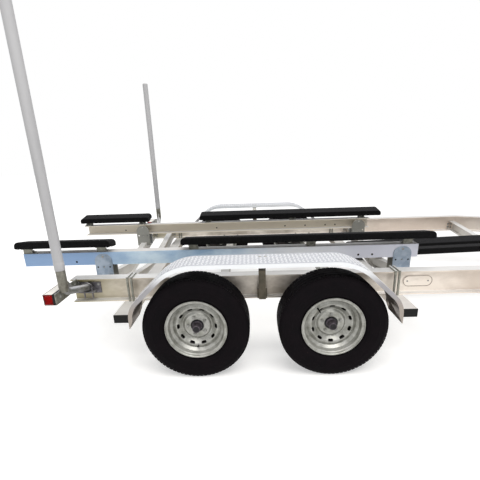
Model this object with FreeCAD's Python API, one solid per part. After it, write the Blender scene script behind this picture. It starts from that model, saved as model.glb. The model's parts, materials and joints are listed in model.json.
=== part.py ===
import FreeCAD, Part
import math
import os

# Tandem-axle boat trailer: aluminium I-beam rails, torsion axles, bunks and guide posts.
# +X points forward along the tongue, +Y to the left and +Z up, with the ground at z = 0.
# Stations along the trailer are measured from the middle of the axles; save() then moves each
# piece so that x = 0 is the middle of the trailer's length. Sizes are in millimetres.
# Pieces are built on the left side, where y is positive, and mirrored to the right.

Vector = FreeCAD.Vector
along_x = Vector(1, 0, 0)
along_y = Vector(0, 1, 0)
along_z = Vector(0, 0, 1)

# ---- wheels and tyres ----
tyre_diameter = 719.0
tyre_width = 223.0
tread_width = 168.0
axle_spread = 905.0             # between the two axles
rim_seat_diameter = 381.0
rim_width = 152.0               # between the insides of the two lips
rim_lip_height = 17.5
rim_lip_curl = 12.0
rim_wall = 3.5
rim_well_diameter = 334.0
rim_lip_radius = 5.0
rim_corner_radius = 7.0
rim_inner_seat = 24.0           # length of the inner bead seat
rim_outer_seat = 30.0           # length of the outer bead seat
rim_hump = 5.0                  # how far the outer seat falls just before the well
rim_slope = 18.0                # length of each slope into the well
disc_face = 22.5                # outer face of the bolting face from the centre plane
disc_thickness = 5.0
disc_bore_diameter = 92.0
disc_plateau_diameter = 172.0
disc_trough_diameter = 202.0
disc_trough_depth = 15.0        # below the bolting face
disc_crest_diameter = 274.0
disc_crest_rise = 18.0          # above the bolting face
disc_weld_drop = 12.0           # from the crest down to the weld on the well
disc_step_radius = 6.0
disc_crest_radius = 14.0
vent_count = 10
vent_pitch_diameter = 256.0
vent_length = 36.0
vent_width = 17.0
wheel_turns = {"front": 0.0, "rear": 18.0}     # degrees that each row's rims have rolled
bead_gap = 0.3
tyre_shoulder_drop = 3.5        # how much lower the tread's edge is than its middle
tyre_shoulder_width = 14.0      # from the tread's edge to the top of the side wall
tyre_shoulder_depth = 16.0
tyre_shoulder_bulge = 4.5
tyre_bead_rise = 3.0            # straight part of the tyre above the rim's lip

# ---- hubs and torsion axles ----
hub_flange_diameter = 150.0
hub_barrel_diameter = 104.0
hub_flange_thickness = 14.0
hub_nose_diameter = 88.0
hub_nose_drop = 2.0             # how far the nose ends below the disc's face
hub_cap_diameter = 52.0
hub_cap_length = 57.5
hub_cap_wall = 4.0
hub_cap_round = 5.0
hub_nose_round = 1.5
hub_plug_diameter = 38.0        # the rubber plug in the cap's end
hub_plug_depth = 2.0
spindle_diameter = 44.0
running_clearance = 0.05
spindle_end_gap = 8.0
hub_arm_gap = 8.0               # between the swing arm and the hub's inner face
axle_tube_size = 76.0
axle_tube_wall = 6.0
swing_arm_reach = 143.0         # how far the spindle trails its tube
swing_arm_thickness = 28.0
swing_arm_width = 64.0
axle_pad_thickness = 12.0
axle_pad_length = 210.0
tyre_arm_gap = 10.0             # between the swing arm and the tyre's inner wall
tyre_rail_gap = 65.0            # between the rail's flange and the tyre's inner wall

# ---- rails and tongue ----
rail_height = 176.0
rail_width = 90.0
rail_flange_depth = 9.0
rail_web_thickness = 7.0
rail_root_radius = 6.0
rail_spacing = 1886.0           # between the two webs
rail_bottom = 463.0
rail_rear = -1381.0
rail_bend = 2500.0
tongue_angle = 25.0
tongue_rail_front = 4330.0
tongue_rail_gap = 12.0
tongue_beam_size = 127.0
tongue_beam_wall = 8.0
tongue_beam_front = 5330.0

# ---- cross members ----
cross_height = 102.0
cross_width = 60.0
cross_flange_depth = 7.0
cross_web_thickness = 6.0
cross_centre_drop = 128.0       # how far the V dips at the trailer's centre
cross_stations = {"rear": -1298.0, "middle": -1062.0, "front": 1156.0, "tongue": 2450.0}
clip_leg = 50.0                 # angle clips that bolt the cross members to the rails
clip_thickness = 6.0
clip_edge_gap = 5.0             # above and below a clip
bow_tube_station = 3150.0
bow_tube_width = 76.0
bow_tube_height = 50.0
bow_tube_wall = 5.0

# ---- arms that carry the fenders ----
arm_station = 951.0
arm_tip_inset = 70.0            # from the fender's outer side to the arm's end
arm_width = 108.0
arm_height = 57.0
arm_wall = 5.0
arm_cap_thickness = 5.0
arm_cap_plug = 25.0
arm_cap_gap = 0.3
u_bolt_rod = 12.0
u_bolt_spacing = 28.0

# ---- fenders ----
fender_overhang = 10.0          # past the tyre's outer wall
fender_width = 212.0
fender_top = 822.0
fender_length = 1760.0
fender_foot = 397.0
fender_corner_height = 537.0    # where the end wall meets the slope
fender_shoulder = 581.0         # where the slope meets the flat top, from the middle
fender_sheet = 3.0
fender_skirt = 27.0
fender_low_radius = 175.0
fender_high_radius = 350.0
end_bracket_inset = 20.0
strut_width = 49.0
strut_depth = 38.0
strut_wall = 4.0
strut_lean = 45.0               # of the upper part, which passes below the fender's inner skirt
strut_skirt_gap = 5.0
strut_foot_width = 70.0
strut_foot_height = 78.0
strut_foot_thickness = 6.0

# ---- bunk beams and their uprights ----
beam_outer = 594.0
beam_width = 90.0
beam_top = 727.0
beam_height = 108.0
beam_wall = 6.0
beam_rear = -1962.0
beam_front = 1281.0
beam_hole_diameter = 17.0
beam_hole_height = 648.0
beam_hole_stations = (-1525.0, -455.0, 340.0, 572.0, 803.0, 915.0)
upright_width = 142.0
upright_thickness = 8.0
upright_top = 712.0
upright_bottom = 484.0
upright_hole_diameter = 14.0
upright_hole_height = 600.0
upright_hole_pitch = 50.0
upright_round = 62.0

# ---- bunks ----
bunk_width = 150.0
bunk_thickness = 60.0
bunk_round = 12.0
bunk_end_round = 34.0
bunk_tilt = 10.0                # towards the keel
bunk_centre = 565.0
bunk_edge_height = 839.0        # outer top edge above the ground
bunk_spans = {"rear": (-2000.0, -1212.0), "side": (-639.0, 1396.0)}
bracket_stations = (-1930.0, -1312.0, -545.0, 420.0, 1200.0)
bracket_length = 74.0
bracket_width = 62.0
bracket_plate = 5.0
bracket_web = 12.0
keel_bunk_outer = 200.0
keel_bunk_width = 156.0
keel_bunk_span = (925.0, 3300.0)
keel_bunk_edge_height = 551.0   # outer top edge at the rear end
keel_bunk_rise = 1.4            # degrees, rising forward
seat_gap = 0.2                  # under a bunk's carpet
keel_block_width = 60.0
keel_block_length = 56.0

# ---- guide posts ----
post_station = -1292.0
post_inset = 56.0               # from the fender's outer side to the post's middle
post_diameter = 60.0
post_fit = 0.3                  # between the post's bore and the arm's top
post_base = 798.0
post_top = 2300.0
post_arm_diameter = 48.0
post_arm_wall = 4.0
post_arm_station = -1264.0      # inner end of the arm, on the web plate
post_arm_height = 566.0
post_arm_end_gap = 0.3          # between the arm's cut end and the web plate
post_bend_height = 648.0
post_bend_radius = 70.0
post_stub_length = 90.0         # how far the arm's top reaches into the post
post_cap_height = 14.0
post_cap_round = 12.0
gusset_thickness = 6.0
gusset_leg = 120.0
web_plate_span = (-1374.0, -1182.0)
web_plate_height = (519.0, 603.0)
web_plate_thickness = 5.0
web_shelf_depth = 46.0          # how far the angle's lower leg stands out
clamp_rod = 10.0
clamp_reach = 30.0              # from the web plate to the U-bolt's middle
clamp_tail = 50.0               # threaded ends below the shelf
clamp_side_gap = 0.8            # between the arm and the U-bolt's legs
clamp_rise = 2.5                # the U-bolt's arc stands above the arm's middle, which slopes
shelf_gap = 0.4                 # between the arm and the shelf's cradle
web_shelf_length = 104.0
web_shelf_top = 541.0

# ---- tail lamps ----
lamp_inset = 10.0               # from the fender's outer side to the lamp's end
lamp_length = 203.0
lamp_front = -1335.0
lamp_base_thickness = 15.0
lamp_depth = 76.0
lamp_bottom = 574.0
lamp_height = 75.0
lamp_round = 8.0
lamp_bracket_sheet = 4.0
lamp_bracket_inner = 992.0

# ---- plates on the rails ----
plate_station = 1120.0
plate_length = 214.0
plate_height = 88.0
plate_thickness = 2.5

# ---- coupler ----
ball_diameter = 59.4
coupler_station = 5530.0
coupler_wall = 6.0
coupler_length = 200.0
coupler_drop = 78.0
coupler_dome_diameter = 88.0
coupler_neck_width = 66.0
coupler_lip = 3.0
socket_depth = 34.0
latch_length = 120.0
latch_setback = 70.0            # front of the latch block, ahead of the tongue beam's end
latch_block = 50.0
latch_width = 28.0
latch_rise = 26.0               # under the lever
latch_thickness = 6.0
latch_grip = 12.0
latch_pin = 10.0

# ---- winch stand ----
winch_station = 4560.0
winch_post_size = 76.0
winch_post_wall = 5.0
winch_post_height = 1120.0
winch_foot_length = 240.0
winch_foot_thickness = 8.0
winch_cheek_gap = 86.0
winch_cheek_thickness = 4.0
winch_cheek_length = 150.0
winch_cheek_height = 120.0
winch_drum_diameter = 64.0
winch_drum_flange = 108.0
winch_drum_gap = 3.0            # between a drum flange and its cheek
winch_drum_sheet = 4.0
winch_crank_reach = 190.0
winch_crank_gap = 28.0          # between the left cheek and the crank
winch_crank_width = 28.0
winch_crank_thickness = 6.0
winch_grip = 32.0
winch_grip_length = 96.0
winch_rod = 16.0
winch_shaft_tail = 12.0
winch_cheek_round = 24.0
winch_shelf_overhang = 20.0
winch_arm_thickness = 6.0
winch_gusset = 82.0
bow_arm_reach = 150.0
bow_arm_drop = 140.0            # from the post's top down to the bow stop's arms
bow_stop_width = 120.0
bow_stop_height = 110.0
bow_stop_depth = 60.0
bow_stop_web = 20.0             # rubber left behind the notch
bow_stop_round = 5.0
bow_arm_depth = 60.0

# ---- tongue jack ----
jack_station = 4950.0
jack_plate = 10.0
jack_plate_length = 150.0
jack_pin_diameter = 40.0
jack_pin_length = 52.0
jack_boss_diameter = 70.0
jack_side_gap = 6.0             # between the mount plate and the jack's boss
jack_pin_end_gap = 1.0
jack_tube_diameter = 57.0
jack_leg_diameter = 46.0
jack_leg_wall = 4.0
jack_tube_bottom = 268.0
jack_tube_top = 760.0
jack_leg_top = 500.0
jack_foot_size = 150.0
jack_foot_thickness = 6.0
jack_foot_round = 20.0
jack_handle_reach = 130.0
jack_handle_rod = 12.0
jack_head_height = 40.0
jack_head_rim = 6.0
jack_stem_length = 60.0
jack_grip_length = 80.0

# ---- places that follow from the sizes above ----
wheel_radius = tyre_diameter / 2
rail_side = rail_spacing / 2
wheel_side = rail_side + rail_width / 2 + tyre_rail_gap + tyre_width / 2
fender_outer = wheel_side + tyre_width / 2 + fender_overhang
arm_tip = fender_outer - arm_tip_inset
post_side = fender_outer - post_inset
lamp_outer = fender_outer - lamp_inset
rail_top = rail_bottom + rail_height
rail_outer = rail_side + rail_width / 2
rail_inner = rail_side - rail_width / 2
web_outer = rail_side + rail_web_thickness / 2
cross_seat = rail_bottom + rail_flange_depth
cross_slope = math.atan2(cross_centre_drop, rail_inner)
tongue_beam_top = rail_bottom
tongue_beam_middle = tongue_beam_top - tongue_beam_size / 2
beam_inner = beam_outer - beam_width
beam_middle = beam_outer - beam_width / 2
axle_tube_top = rail_bottom - axle_pad_thickness
axle_tube_middle = axle_tube_top - axle_tube_size / 2
swing_arm_outer = wheel_side - tyre_width / 2 - tyre_arm_gap
swing_arm_inner = swing_arm_outer - swing_arm_thickness
axle_stations = {"front": axle_spread / 2, "rear": -axle_spread / 2}
jack_boss_inner = tongue_beam_size / 2 + jack_plate + jack_side_gap
jack_side = jack_boss_inner + jack_pin_length - jack_side_gap + jack_tube_diameter / 2
bow_arm_height = winch_post_height - bow_arm_drop
rear_end = bunk_spans["rear"][0]
front_end = coupler_station + coupler_dome_diameter / 2
middle_station = (rear_end + front_end) / 2
half_space = 9000.0
edge_margin = 1.0               # for picking edges by their place


def box(low, high):
    """A box between two opposite corners."""
    size = high - low
    return Part.makeBox(size.x, size.y, size.z, low)


def prism(points, direction):
    """A straight prism on a flat closed outline."""
    return Part.Face(Part.makePolygon(points + [points[0]])).extrude(direction)


def tube(radius, wall, start, direction, length):
    """A straight round tube."""
    outside = Part.makeCylinder(radius, length, start, direction)
    return outside.cut(Part.makeCylinder(radius - wall, length, start, direction))


def box_tube(low, high, wall, axis):
    """A rectangular tube between two corners, open along the given axis."""
    inset = Vector(wall, wall, wall)
    for name in "xyz":
        if getattr(axis, name):
            setattr(inset, name, 0.0)
    return box(low, high).cut(box(low + inset, high - inset))


def i_section(height, flange, flange_thickness, web, centre, side):
    """The outline of an I-beam about its centre, with its flanges along the side direction."""
    corners = ((flange / 2, height / 2), (flange / 2, height / 2 - flange_thickness),
               (web / 2, height / 2 - flange_thickness), (web / 2, flange_thickness - height / 2),
               (flange / 2, flange_thickness - height / 2), (flange / 2, -height / 2))
    right = [centre + side * across + along_z * up for across, up in corners]
    left = [centre - side * across + along_z * up for across, up in reversed(corners)]
    return right + left


def cut_beyond(shape, point, normal):
    """Take away what lies past a plane."""
    return shape.cut(Part.makeCylinder(half_space, half_space, point, normal))


def mirrored(shape):
    """The same piece on the trailer's right side."""
    return shape.mirror(Vector(0, 0, 0), along_y)


def both_sides(shapes):
    """A list of left-hand pieces with their right-hand twins."""
    return shapes + [mirrored(shape) for shape in shapes]


def save(node, shapes):
    """Write one node, made of one solid or of several that don't touch."""
    solids = [solid for shape in shapes for solid in shape.Solids]
    shape = solids[0] if len(solids) == 1 else Part.makeCompound(solids)
    shape = shape.translated(along_x * -middle_station)
    shape.exportStep("parts/" + node + ".step")


def fillet_path(points, radii):
    """A wire through the points, with each inner corner rounded by its radius."""
    edges = []
    start = points[0]
    for before, corner, after, radius in zip(points, points[1:], points[2:], radii):
        inward = (before - corner).normalize()
        outward = (after - corner).normalize()
        half_angle = inward.getAngle(outward) / 2
        reach = radius / math.tan(half_angle)
        bisector = (inward + outward).normalize()
        arc_start = corner + inward * reach
        arc_end = corner + outward * reach
        arc_middle = corner + bisector * (radius / math.sin(half_angle) - radius)
        edges.append(Part.LineSegment(start, arc_start).toShape())
        edges.append(Part.Arc(arc_start, arc_middle, arc_end).toShape())
        start = arc_end
    edges.append(Part.LineSegment(start, points[-1]).toShape())
    return Part.Wire(edges)


def swept_rod(path, radius):
    """A round rod along a path of lines and tangent arcs."""
    start = path.Edges[0]
    circle = Part.Circle(start.valueAt(start.FirstParameter), start.tangentAt(start.FirstParameter), radius)
    return path.makePipeShell([Part.Wire(circle.toShape())], True, False)


def rounded_bar(length, width, height, side_round, end_round):
    """A padded bar along +X about the origin, with rounded long edges and rounded upper ends."""
    bar = box(Vector(0, -width / 2, -height / 2), Vector(length, width / 2, height / 2))
    ends = [edge for edge in bar.Edges
            if max(edge.BoundBox.XLength, edge.BoundBox.ZLength) < edge_margin and edge.CenterOfMass.z > 0]
    bar = bar.makeFillet(end_round, ends)
    lengthwise = [edge for edge in bar.Edges
                  if edge.BoundBox.XLength > length / 2 and edge.CenterOfMass.z < 0]
    return bar.makeFillet(side_round, lengthwise)


# ---- wheels ----

def tyre():
    """A tyre about the Y axis at the origin: beads, bulging walls, shoulders and a crowned tread."""
    seat = rim_seat_diameter / 2 + bead_gap
    bead = rim_width / 2 - bead_gap
    lip = rim_seat_diameter / 2 + rim_lip_height + bead_gap
    tread_side = tread_width / 2
    edge_height = wheel_radius - tyre_shoulder_drop
    wall_top = Vector(0, tread_side + tyre_shoulder_width, edge_height - tyre_shoulder_depth)
    bulge = Vector(0, tyre_width / 2, (lip + wheel_radius) / 2)
    round_side = tread_side + (tyre_shoulder_width + tyre_shoulder_bulge) / 2
    heel = rim_corner_radius * (1 - math.sqrt(0.5))
    half = [Part.LineSegment(Vector(0, 0, seat), Vector(0, bead - rim_corner_radius, seat)),
            Part.Arc(Vector(0, bead - rim_corner_radius, seat), Vector(0, bead - heel, seat + heel),
                     Vector(0, bead, seat + rim_corner_radius)),
            Part.LineSegment(Vector(0, bead, seat + rim_corner_radius),
                             Vector(0, bead, lip + tyre_bead_rise)),
            Part.Arc(Vector(0, bead, lip + tyre_bead_rise), bulge, wall_top),
            Part.Arc(wall_top, Vector(0, round_side, edge_height - tyre_shoulder_bulge),
                     Vector(0, tread_side, edge_height))]
    edges = [curve.toShape() for curve in half]
    edges += [edge.mirror(Vector(0, 0, 0), along_y) for edge in edges]
    crown = Part.Arc(Vector(0, tread_side, edge_height), Vector(0, 0, wheel_radius),
                     Vector(0, -tread_side, edge_height))
    outline = Part.Wire(Part.sortEdges(edges + [crown.toShape()])[0])
    return Part.Face(outline).revolve(Vector(0, 0, 0), along_y, 360)


def turned_strip(points, radii, offset):
    """A sheet-metal ring about the Y axis: a line with rounded corners, thickened by the offset."""
    line = fillet_path([Vector(0, across, out) for across, out in points], radii)
    other = line.translated(offset)
    ends = [Part.LineSegment(line.Edges[index].valueAt(getattr(line.Edges[index], end)),
                             other.Edges[index].valueAt(getattr(other.Edges[index], end))).toShape()
            for index, end in ((0, "FirstParameter"), (-1, "LastParameter"))]
    face = Part.Face(Part.Wire(Part.sortEdges(line.Edges + other.Edges + ends)[0]))
    return face.revolve(Vector(0, 0, 0), along_y, 360)


def rim():
    """A pressed steel rim with a drop centre and a vented disc, its outer side towards +Y."""
    seat = rim_seat_diameter / 2
    well = rim_well_diameter / 2
    lip = seat + rim_lip_height
    side = rim_width / 2
    tip = side + rim_lip_curl
    inner_fall = -side + rim_inner_seat
    outer_fall = side - rim_outer_seat
    halves = [[(-tip, lip), (-side, lip), (-side, seat), (inner_fall, seat),
               (inner_fall + rim_slope, well), (0.0, well)],
              [(tip, lip), (side, lip), (side, seat), (outer_fall, seat - rim_hump),
               (outer_fall - rim_slope, well), (0.0, well)]]
    radii = (rim_lip_radius, rim_corner_radius, rim_corner_radius, rim_corner_radius)
    line = [fillet_path([Vector(0, across, out) for across, out in points], radii) for points in halves]
    inside = [fillet_path([Vector(0, across + turn * rim_wall * bend, out - rim_wall)
                           for (across, out), bend in zip(points, (0.0, -1.0, -1.0, 0.0, 0.0, 0.0))], radii)
              for points, turn in zip(halves, (1, -1))]
    ends = [Part.LineSegment(outer.Edges[0].valueAt(outer.Edges[0].FirstParameter),
                             inner.Edges[0].valueAt(inner.Edges[0].FirstParameter)).toShape()
            for outer, inner in zip(line, inside)]
    edges = line[0].Edges + line[1].Edges + inside[0].Edges + inside[1].Edges + ends
    barrel = Part.Face(Part.Wire(Part.sortEdges(edges)[0])).revolve(Vector(0, 0, 0), along_y, 360)
    trough = disc_face - disc_trough_depth
    crest = disc_face + disc_crest_rise
    plateau = disc_plateau_diameter / 2
    outline = [(disc_face, disc_bore_diameter / 2), (disc_face, plateau),
               (trough, disc_trough_diameter / 2), (crest, disc_crest_diameter / 2),
               (crest - disc_weld_drop, well - rim_wall / 2)]
    disc = turned_strip(outline, (disc_step_radius, disc_step_radius, disc_crest_radius),
                        along_y * -disc_thickness)
    for index in range(vent_count):
        disc = disc.cut(vent().rotate(Vector(0, 0, 0), along_y, 360.0 * index / vent_count))
    return barrel.fuse(disc).removeSplitter()


def vent():
    """One oval window of the disc, as a cutter at the top of the wheel."""
    height = vent_pitch_diameter / 2
    straight = (vent_length - vent_width) / 2
    start = disc_face - disc_trough_depth
    reach = disc_trough_depth + 2 * disc_crest_rise
    cutter = Part.makeBox(2 * straight, reach, vent_width,
                          Vector(-straight, start, height - vent_width / 2))
    for end in (-straight, straight):
        cutter = cutter.fuse(Part.makeCylinder(vent_width / 2, reach, Vector(end, start, height), along_y))
    return cutter


def hub():
    """A hub with its bolting flange, nose and long grease cap, bored for the spindle."""
    face = disc_face - disc_thickness
    barrel_end = swing_arm_outer + hub_arm_gap - wheel_side
    nose_end = disc_face - hub_nose_drop
    cap_end = nose_end + hub_cap_length
    body = Part.makeCylinder(hub_flange_diameter / 2, hub_flange_thickness,
                             Vector(0, face - hub_flange_thickness, 0), along_y)
    body = body.fuse(Part.makeCylinder(hub_barrel_diameter / 2, face - barrel_end,
                                       Vector(0, barrel_end, 0), along_y))
    nose = Part.makeCylinder(hub_nose_diameter / 2, nose_end - face, Vector(0, face, 0), along_y)
    body = body.fuse(nose.makeFillet(hub_nose_round, outer_rim(nose, nose_end)))
    cap = Part.makeCylinder(hub_cap_diameter / 2, hub_cap_length, Vector(0, nose_end, 0), along_y)
    cap = cap.makeFillet(hub_cap_round, outer_rim(cap, cap_end))
    body = body.fuse(cap)
    bore_radius = spindle_diameter / 2 + running_clearance
    body = body.cut(Part.makeCylinder(bore_radius, cap_end - hub_cap_wall - hub_plug_depth - barrel_end,
                                      Vector(0, barrel_end, 0), along_y))
    return body.cut(Part.makeCylinder(hub_plug_diameter / 2, hub_plug_depth,
                                      Vector(0, cap_end - hub_plug_depth, 0), along_y))


def outer_rim(shape, height):
    """The round edges of a turned piece at a distance along Y."""
    return [edge for edge in shape.Edges
            if isinstance(edge.Curve, Part.Circle) and abs(edge.CenterOfMass.y - height) < bead_gap]


def placed_wheel_piece(shape, row, side):
    """Move a wheel's piece to its corner, with its outer face away from the trailer."""
    piece = shape.copy().rotate(Vector(0, 0, 0), along_y, wheel_turns[row])
    if side < 0:
        piece = mirrored(piece)
    piece.translate(Vector(axle_stations[row], side * wheel_side, wheel_radius))
    return piece


def save_wheels():
    pieces = {"tyre": tyre(), "rim": rim(), "hub": hub()}
    for row in axle_stations:
        for hand, side in (("left", 1), ("right", -1)):
            for name, shape in pieces.items():
                save(name + "_" + row + "_" + hand, [placed_wheel_piece(shape, row, side)])


def axle(station):
    """A torsion axle: a square tube under the rails with a trailing arm and spindle at each end."""
    tube_station = station + swing_arm_reach
    half = axle_tube_size / 2
    beam = box_tube(Vector(tube_station - half, -swing_arm_inner, axle_tube_middle - half),
                    Vector(tube_station + half, swing_arm_inner, axle_tube_middle + half),
                    axle_tube_wall, along_y)
    whole = beam
    for side in (1, -1):
        middle = side * rail_side
        whole = whole.fuse(box(
            Vector(tube_station - axle_pad_length / 2, middle - rail_width / 2, axle_tube_top),
            Vector(tube_station + axle_pad_length / 2, middle + rail_width / 2, rail_bottom)))
        arm = swing_arm(station, tube_station)
        whole = whole.fuse(arm if side > 0 else mirrored(arm))
    return whole.removeSplitter()


def swing_arm(station, tube_station):
    """The arm that trails from the tube's end down to the wheel's centre, with its spindle."""
    pivot = Vector(tube_station, swing_arm_inner, axle_tube_middle)
    centre = Vector(station, swing_arm_inner, wheel_radius)
    radius = swing_arm_width / 2
    lean = (pivot - centre).cross(along_y).normalize() * radius
    arm = prism([pivot + lean, centre + lean, centre - lean, pivot - lean],
                along_y * swing_arm_thickness)
    for end in (pivot, centre):
        arm = arm.fuse(Part.makeCylinder(radius, swing_arm_thickness, end, along_y))
    cap_end = wheel_side + disc_face - hub_nose_drop + hub_cap_length
    bore_end = cap_end - hub_cap_wall - hub_plug_depth
    length = bore_end - spindle_end_gap - swing_arm_inner
    return arm.fuse(Part.makeCylinder(spindle_diameter / 2, length, centre, along_y))


# ---- frame ----

def with_roots(beam, centre, side):
    """An I-beam with its four inner corners rounded."""
    roots = [edge for edge in beam.Edges
             if abs((edge.CenterOfMass - centre).dot(side)) < rail_web_thickness / 2 + bead_gap
             and edge.Length > rail_height]
    return beam.makeFillet(rail_root_radius, roots)


def main_rail():
    """The left rail: a straight I-beam with a mitred front end."""
    centre = Vector(rail_rear, rail_side, rail_bottom + rail_height / 2)
    outline = i_section(rail_height, rail_width, rail_flange_depth, rail_web_thickness, centre, along_y)
    beam = with_roots(prism(outline, along_x * (rail_bend - rail_rear + rail_width)), centre, along_y)
    half_turn = math.radians(tongue_angle / 2)
    return cut_beyond(beam, Vector(rail_bend, rail_side, 0),
                      Vector(math.cos(half_turn), -math.sin(half_turn), 0))


def tongue_rail():
    """The left rail's front half, mitred to the main rail and led in to the tongue beam."""
    turn = math.radians(tongue_angle)
    direction = Vector(math.cos(turn), -math.sin(turn), 0)
    across = Vector(math.sin(turn), math.cos(turn), 0)
    bend = Vector(rail_bend, rail_side, rail_bottom + rail_height / 2)
    length = (tongue_rail_front - rail_bend) / math.cos(turn) + rail_width
    start = bend - direction * rail_width
    outline = i_section(rail_height, rail_width, rail_flange_depth, rail_web_thickness, start, across)
    beam = with_roots(prism(outline, direction * (length + 2 * rail_width)), start, across)
    beam = cut_beyond(beam, bend - along_z * rail_height,
                      Vector(-math.cos(turn / 2), math.sin(turn / 2), 0))
    beam = cut_beyond(beam, Vector(tongue_rail_front, 0, 0), along_x)
    return cut_beyond(beam, Vector(tongue_rail_front, tongue_rail_gap / 2, 0), -along_y)


def cross_member(station):
    """A shallow V of I-beam between the rails, seated on their lower flanges."""
    slope = Vector(0, -math.cos(cross_slope), -math.sin(cross_slope))
    lean = Vector(0, -math.sin(cross_slope), math.cos(cross_slope))
    seat = Vector(station, rail_inner, cross_seat)
    start = seat - slope * rail_width + lean * (cross_height / 2)
    outline = [start + along_x * (point.x - start.x) + lean * (point.z - start.z)
               for point in i_section(cross_height, cross_width, cross_flange_depth, cross_web_thickness,
                                      start, along_x)]
    half = prism(outline, slope * (rail_side + 2 * rail_width))
    half = cut_beyond(half, Vector(station, 0, 0), -along_y)
    half = cut_beyond(half, Vector(station, rail_side - rail_web_thickness / 2 - rail_root_radius, 0), along_y)
    return half.fuse(mirrored(half)).removeSplitter()


def cross_clip(station, direction):
    """An angle between the left rail's web and one side of a cross member's web."""
    web = rail_side - rail_web_thickness / 2
    face = station + direction * cross_web_thickness / 2
    fall = clip_leg * math.tan(cross_slope)
    bottom = cross_seat + max(cross_flange_depth / math.cos(cross_slope), rail_root_radius) + clip_edge_gap
    top = cross_member_top(web) - cross_flange_depth / math.cos(cross_slope) - fall - clip_edge_gap
    corner = Vector(face, web, bottom)
    spots = [(0, 0), (clip_leg, 0), (clip_leg, -clip_thickness), (clip_thickness, -clip_thickness),
             (clip_thickness, -clip_leg), (0, -clip_leg)]
    return prism([corner + Vector(direction * along, across, 0) for along, across in spots],
                 along_z * (top - bottom))


def cross_member_top(side):
    """Height of a cross member's upper face at a distance from the trailer's centre."""
    rise = (side - rail_inner) * math.tan(cross_slope)
    return cross_seat + rise + cross_height / math.cos(cross_slope)


def bow_tube():
    """The flat tube that ties the two tongue rails and carries the front of the keel bunks."""
    low = Vector(bow_tube_station - bow_tube_width / 2, -half_space / 4, cross_seat)
    high = low + Vector(bow_tube_width, half_space / 2, bow_tube_height)
    whole = box_tube(low, high, bow_tube_wall, along_y)
    turn = math.radians(tongue_angle)
    inset = rail_web_thickness / 2 + rail_root_radius
    web = Vector(rail_bend, rail_side, 0) - Vector(math.sin(turn), math.cos(turn), 0) * inset
    for side in (1, -1):
        point = Vector(web.x, side * web.y, 0)
        whole = cut_beyond(whole, point, Vector(math.sin(turn), side * math.cos(turn), 0))
    return whole


def tongue_beam():
    """The square tube from the tongue cross member to the coupler."""
    rear = cross_stations["tongue"] + cross_width / 2
    low = Vector(rear, -tongue_beam_size / 2, tongue_beam_top - tongue_beam_size)
    high = Vector(tongue_beam_front, tongue_beam_size / 2, tongue_beam_top)
    return box_tube(low, high, tongue_beam_wall, along_x)


def fender_arm(station):
    """A flat tube under both rails whose ends carry the fenders."""
    reach = arm_tip - arm_cap_thickness
    return box_tube(Vector(station - arm_width / 2, -reach, rail_bottom - arm_height),
                    Vector(station + arm_width / 2, reach, rail_bottom), arm_wall, along_y)


def arm_cap(station):
    """A plug with a flat head in the left end of a fender arm."""
    reach = arm_tip - arm_cap_thickness
    head = box(Vector(station - arm_width / 2, reach, rail_bottom - arm_height),
               Vector(station + arm_width / 2, arm_tip, rail_bottom))
    inset = arm_wall + arm_cap_gap
    plug = box(Vector(station - arm_width / 2 + inset, reach - arm_cap_plug,
                      rail_bottom - arm_height + inset),
               Vector(station + arm_width / 2 - inset, reach, rail_bottom - inset))
    return head.fuse(plug)


def rail_u_bolt(station):
    """A square U-bolt over the rail that holds a fender arm under it."""
    low = Vector(station - u_bolt_rod / 2, rail_inner - u_bolt_rod, rail_bottom)
    high = Vector(station + u_bolt_rod / 2, rail_outer + u_bolt_rod, rail_top + u_bolt_rod)
    opening = box(Vector(low.x, rail_inner, low.z), Vector(high.x, rail_outer, rail_top))
    return box(low, high).cut(opening)


def side_plate():
    """A blank oval plate on the rail's web."""
    middle = rail_bottom + rail_height / 2
    straight = (plate_length - plate_height) / 2
    plate = box(Vector(plate_station - straight, web_outer, middle - plate_height / 2),
                Vector(plate_station + straight, web_outer + plate_thickness, middle + plate_height / 2))
    for end in (-straight, straight):
        plate = plate.fuse(Part.makeCylinder(plate_height / 2, plate_thickness,
                                             Vector(plate_station + end, web_outer, middle), along_y))
    return plate.removeSplitter()


# ---- fenders ----

def fender_profile(inset):
    """Outer line of the fender from the side, drawn inside by the inset."""
    half = fender_length / 2 - inset
    slope = math.atan2(fender_top - fender_corner_height, fender_length / 2 - fender_shoulder)
    low_shift = inset * math.tan((math.pi / 2 - slope) / 2)
    high_shift = inset * math.tan(slope / 2)
    points = [Vector(half, 0, fender_foot), Vector(half, 0, fender_corner_height - low_shift),
              Vector(fender_shoulder - high_shift, 0, fender_top - inset)]
    points += [Vector(-point.x, 0, point.z) for point in reversed(points)]
    radii = (fender_low_radius - inset, fender_high_radius - inset)
    return fillet_path(points, radii + radii[::-1])


def fender_band(inner_inset, start, width):
    """What lies between the fender's outer line and a line inside it, over a width in Y."""
    outer = fender_profile(0)
    inner = fender_profile(inner_inset)
    ends = [Part.LineSegment(outer.Edges[index].valueAt(parameter), inner.Edges[index].valueAt(other))
            for index, parameter, other in
            ((0, outer.Edges[0].FirstParameter, inner.Edges[0].FirstParameter),
             (-1, outer.Edges[-1].LastParameter, inner.Edges[-1].LastParameter))]
    edges = outer.Edges + inner.Edges + [end.toShape() for end in ends]
    face = Part.Face(Part.Wire(Part.sortEdges(edges)[0]))
    face.translate(along_y * start)
    return face.extrude(along_y * width)


def fender():
    """A folded tread-plate fender over both wheels, with a skirt along each edge."""
    inner_side = fender_outer - fender_width
    whole = fender_band(fender_sheet, inner_side, fender_width)
    for start in (fender_outer - fender_sheet, inner_side):
        whole = whole.fuse(fender_band(fender_skirt, start, fender_sheet))
    return whole.removeSplitter()


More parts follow.
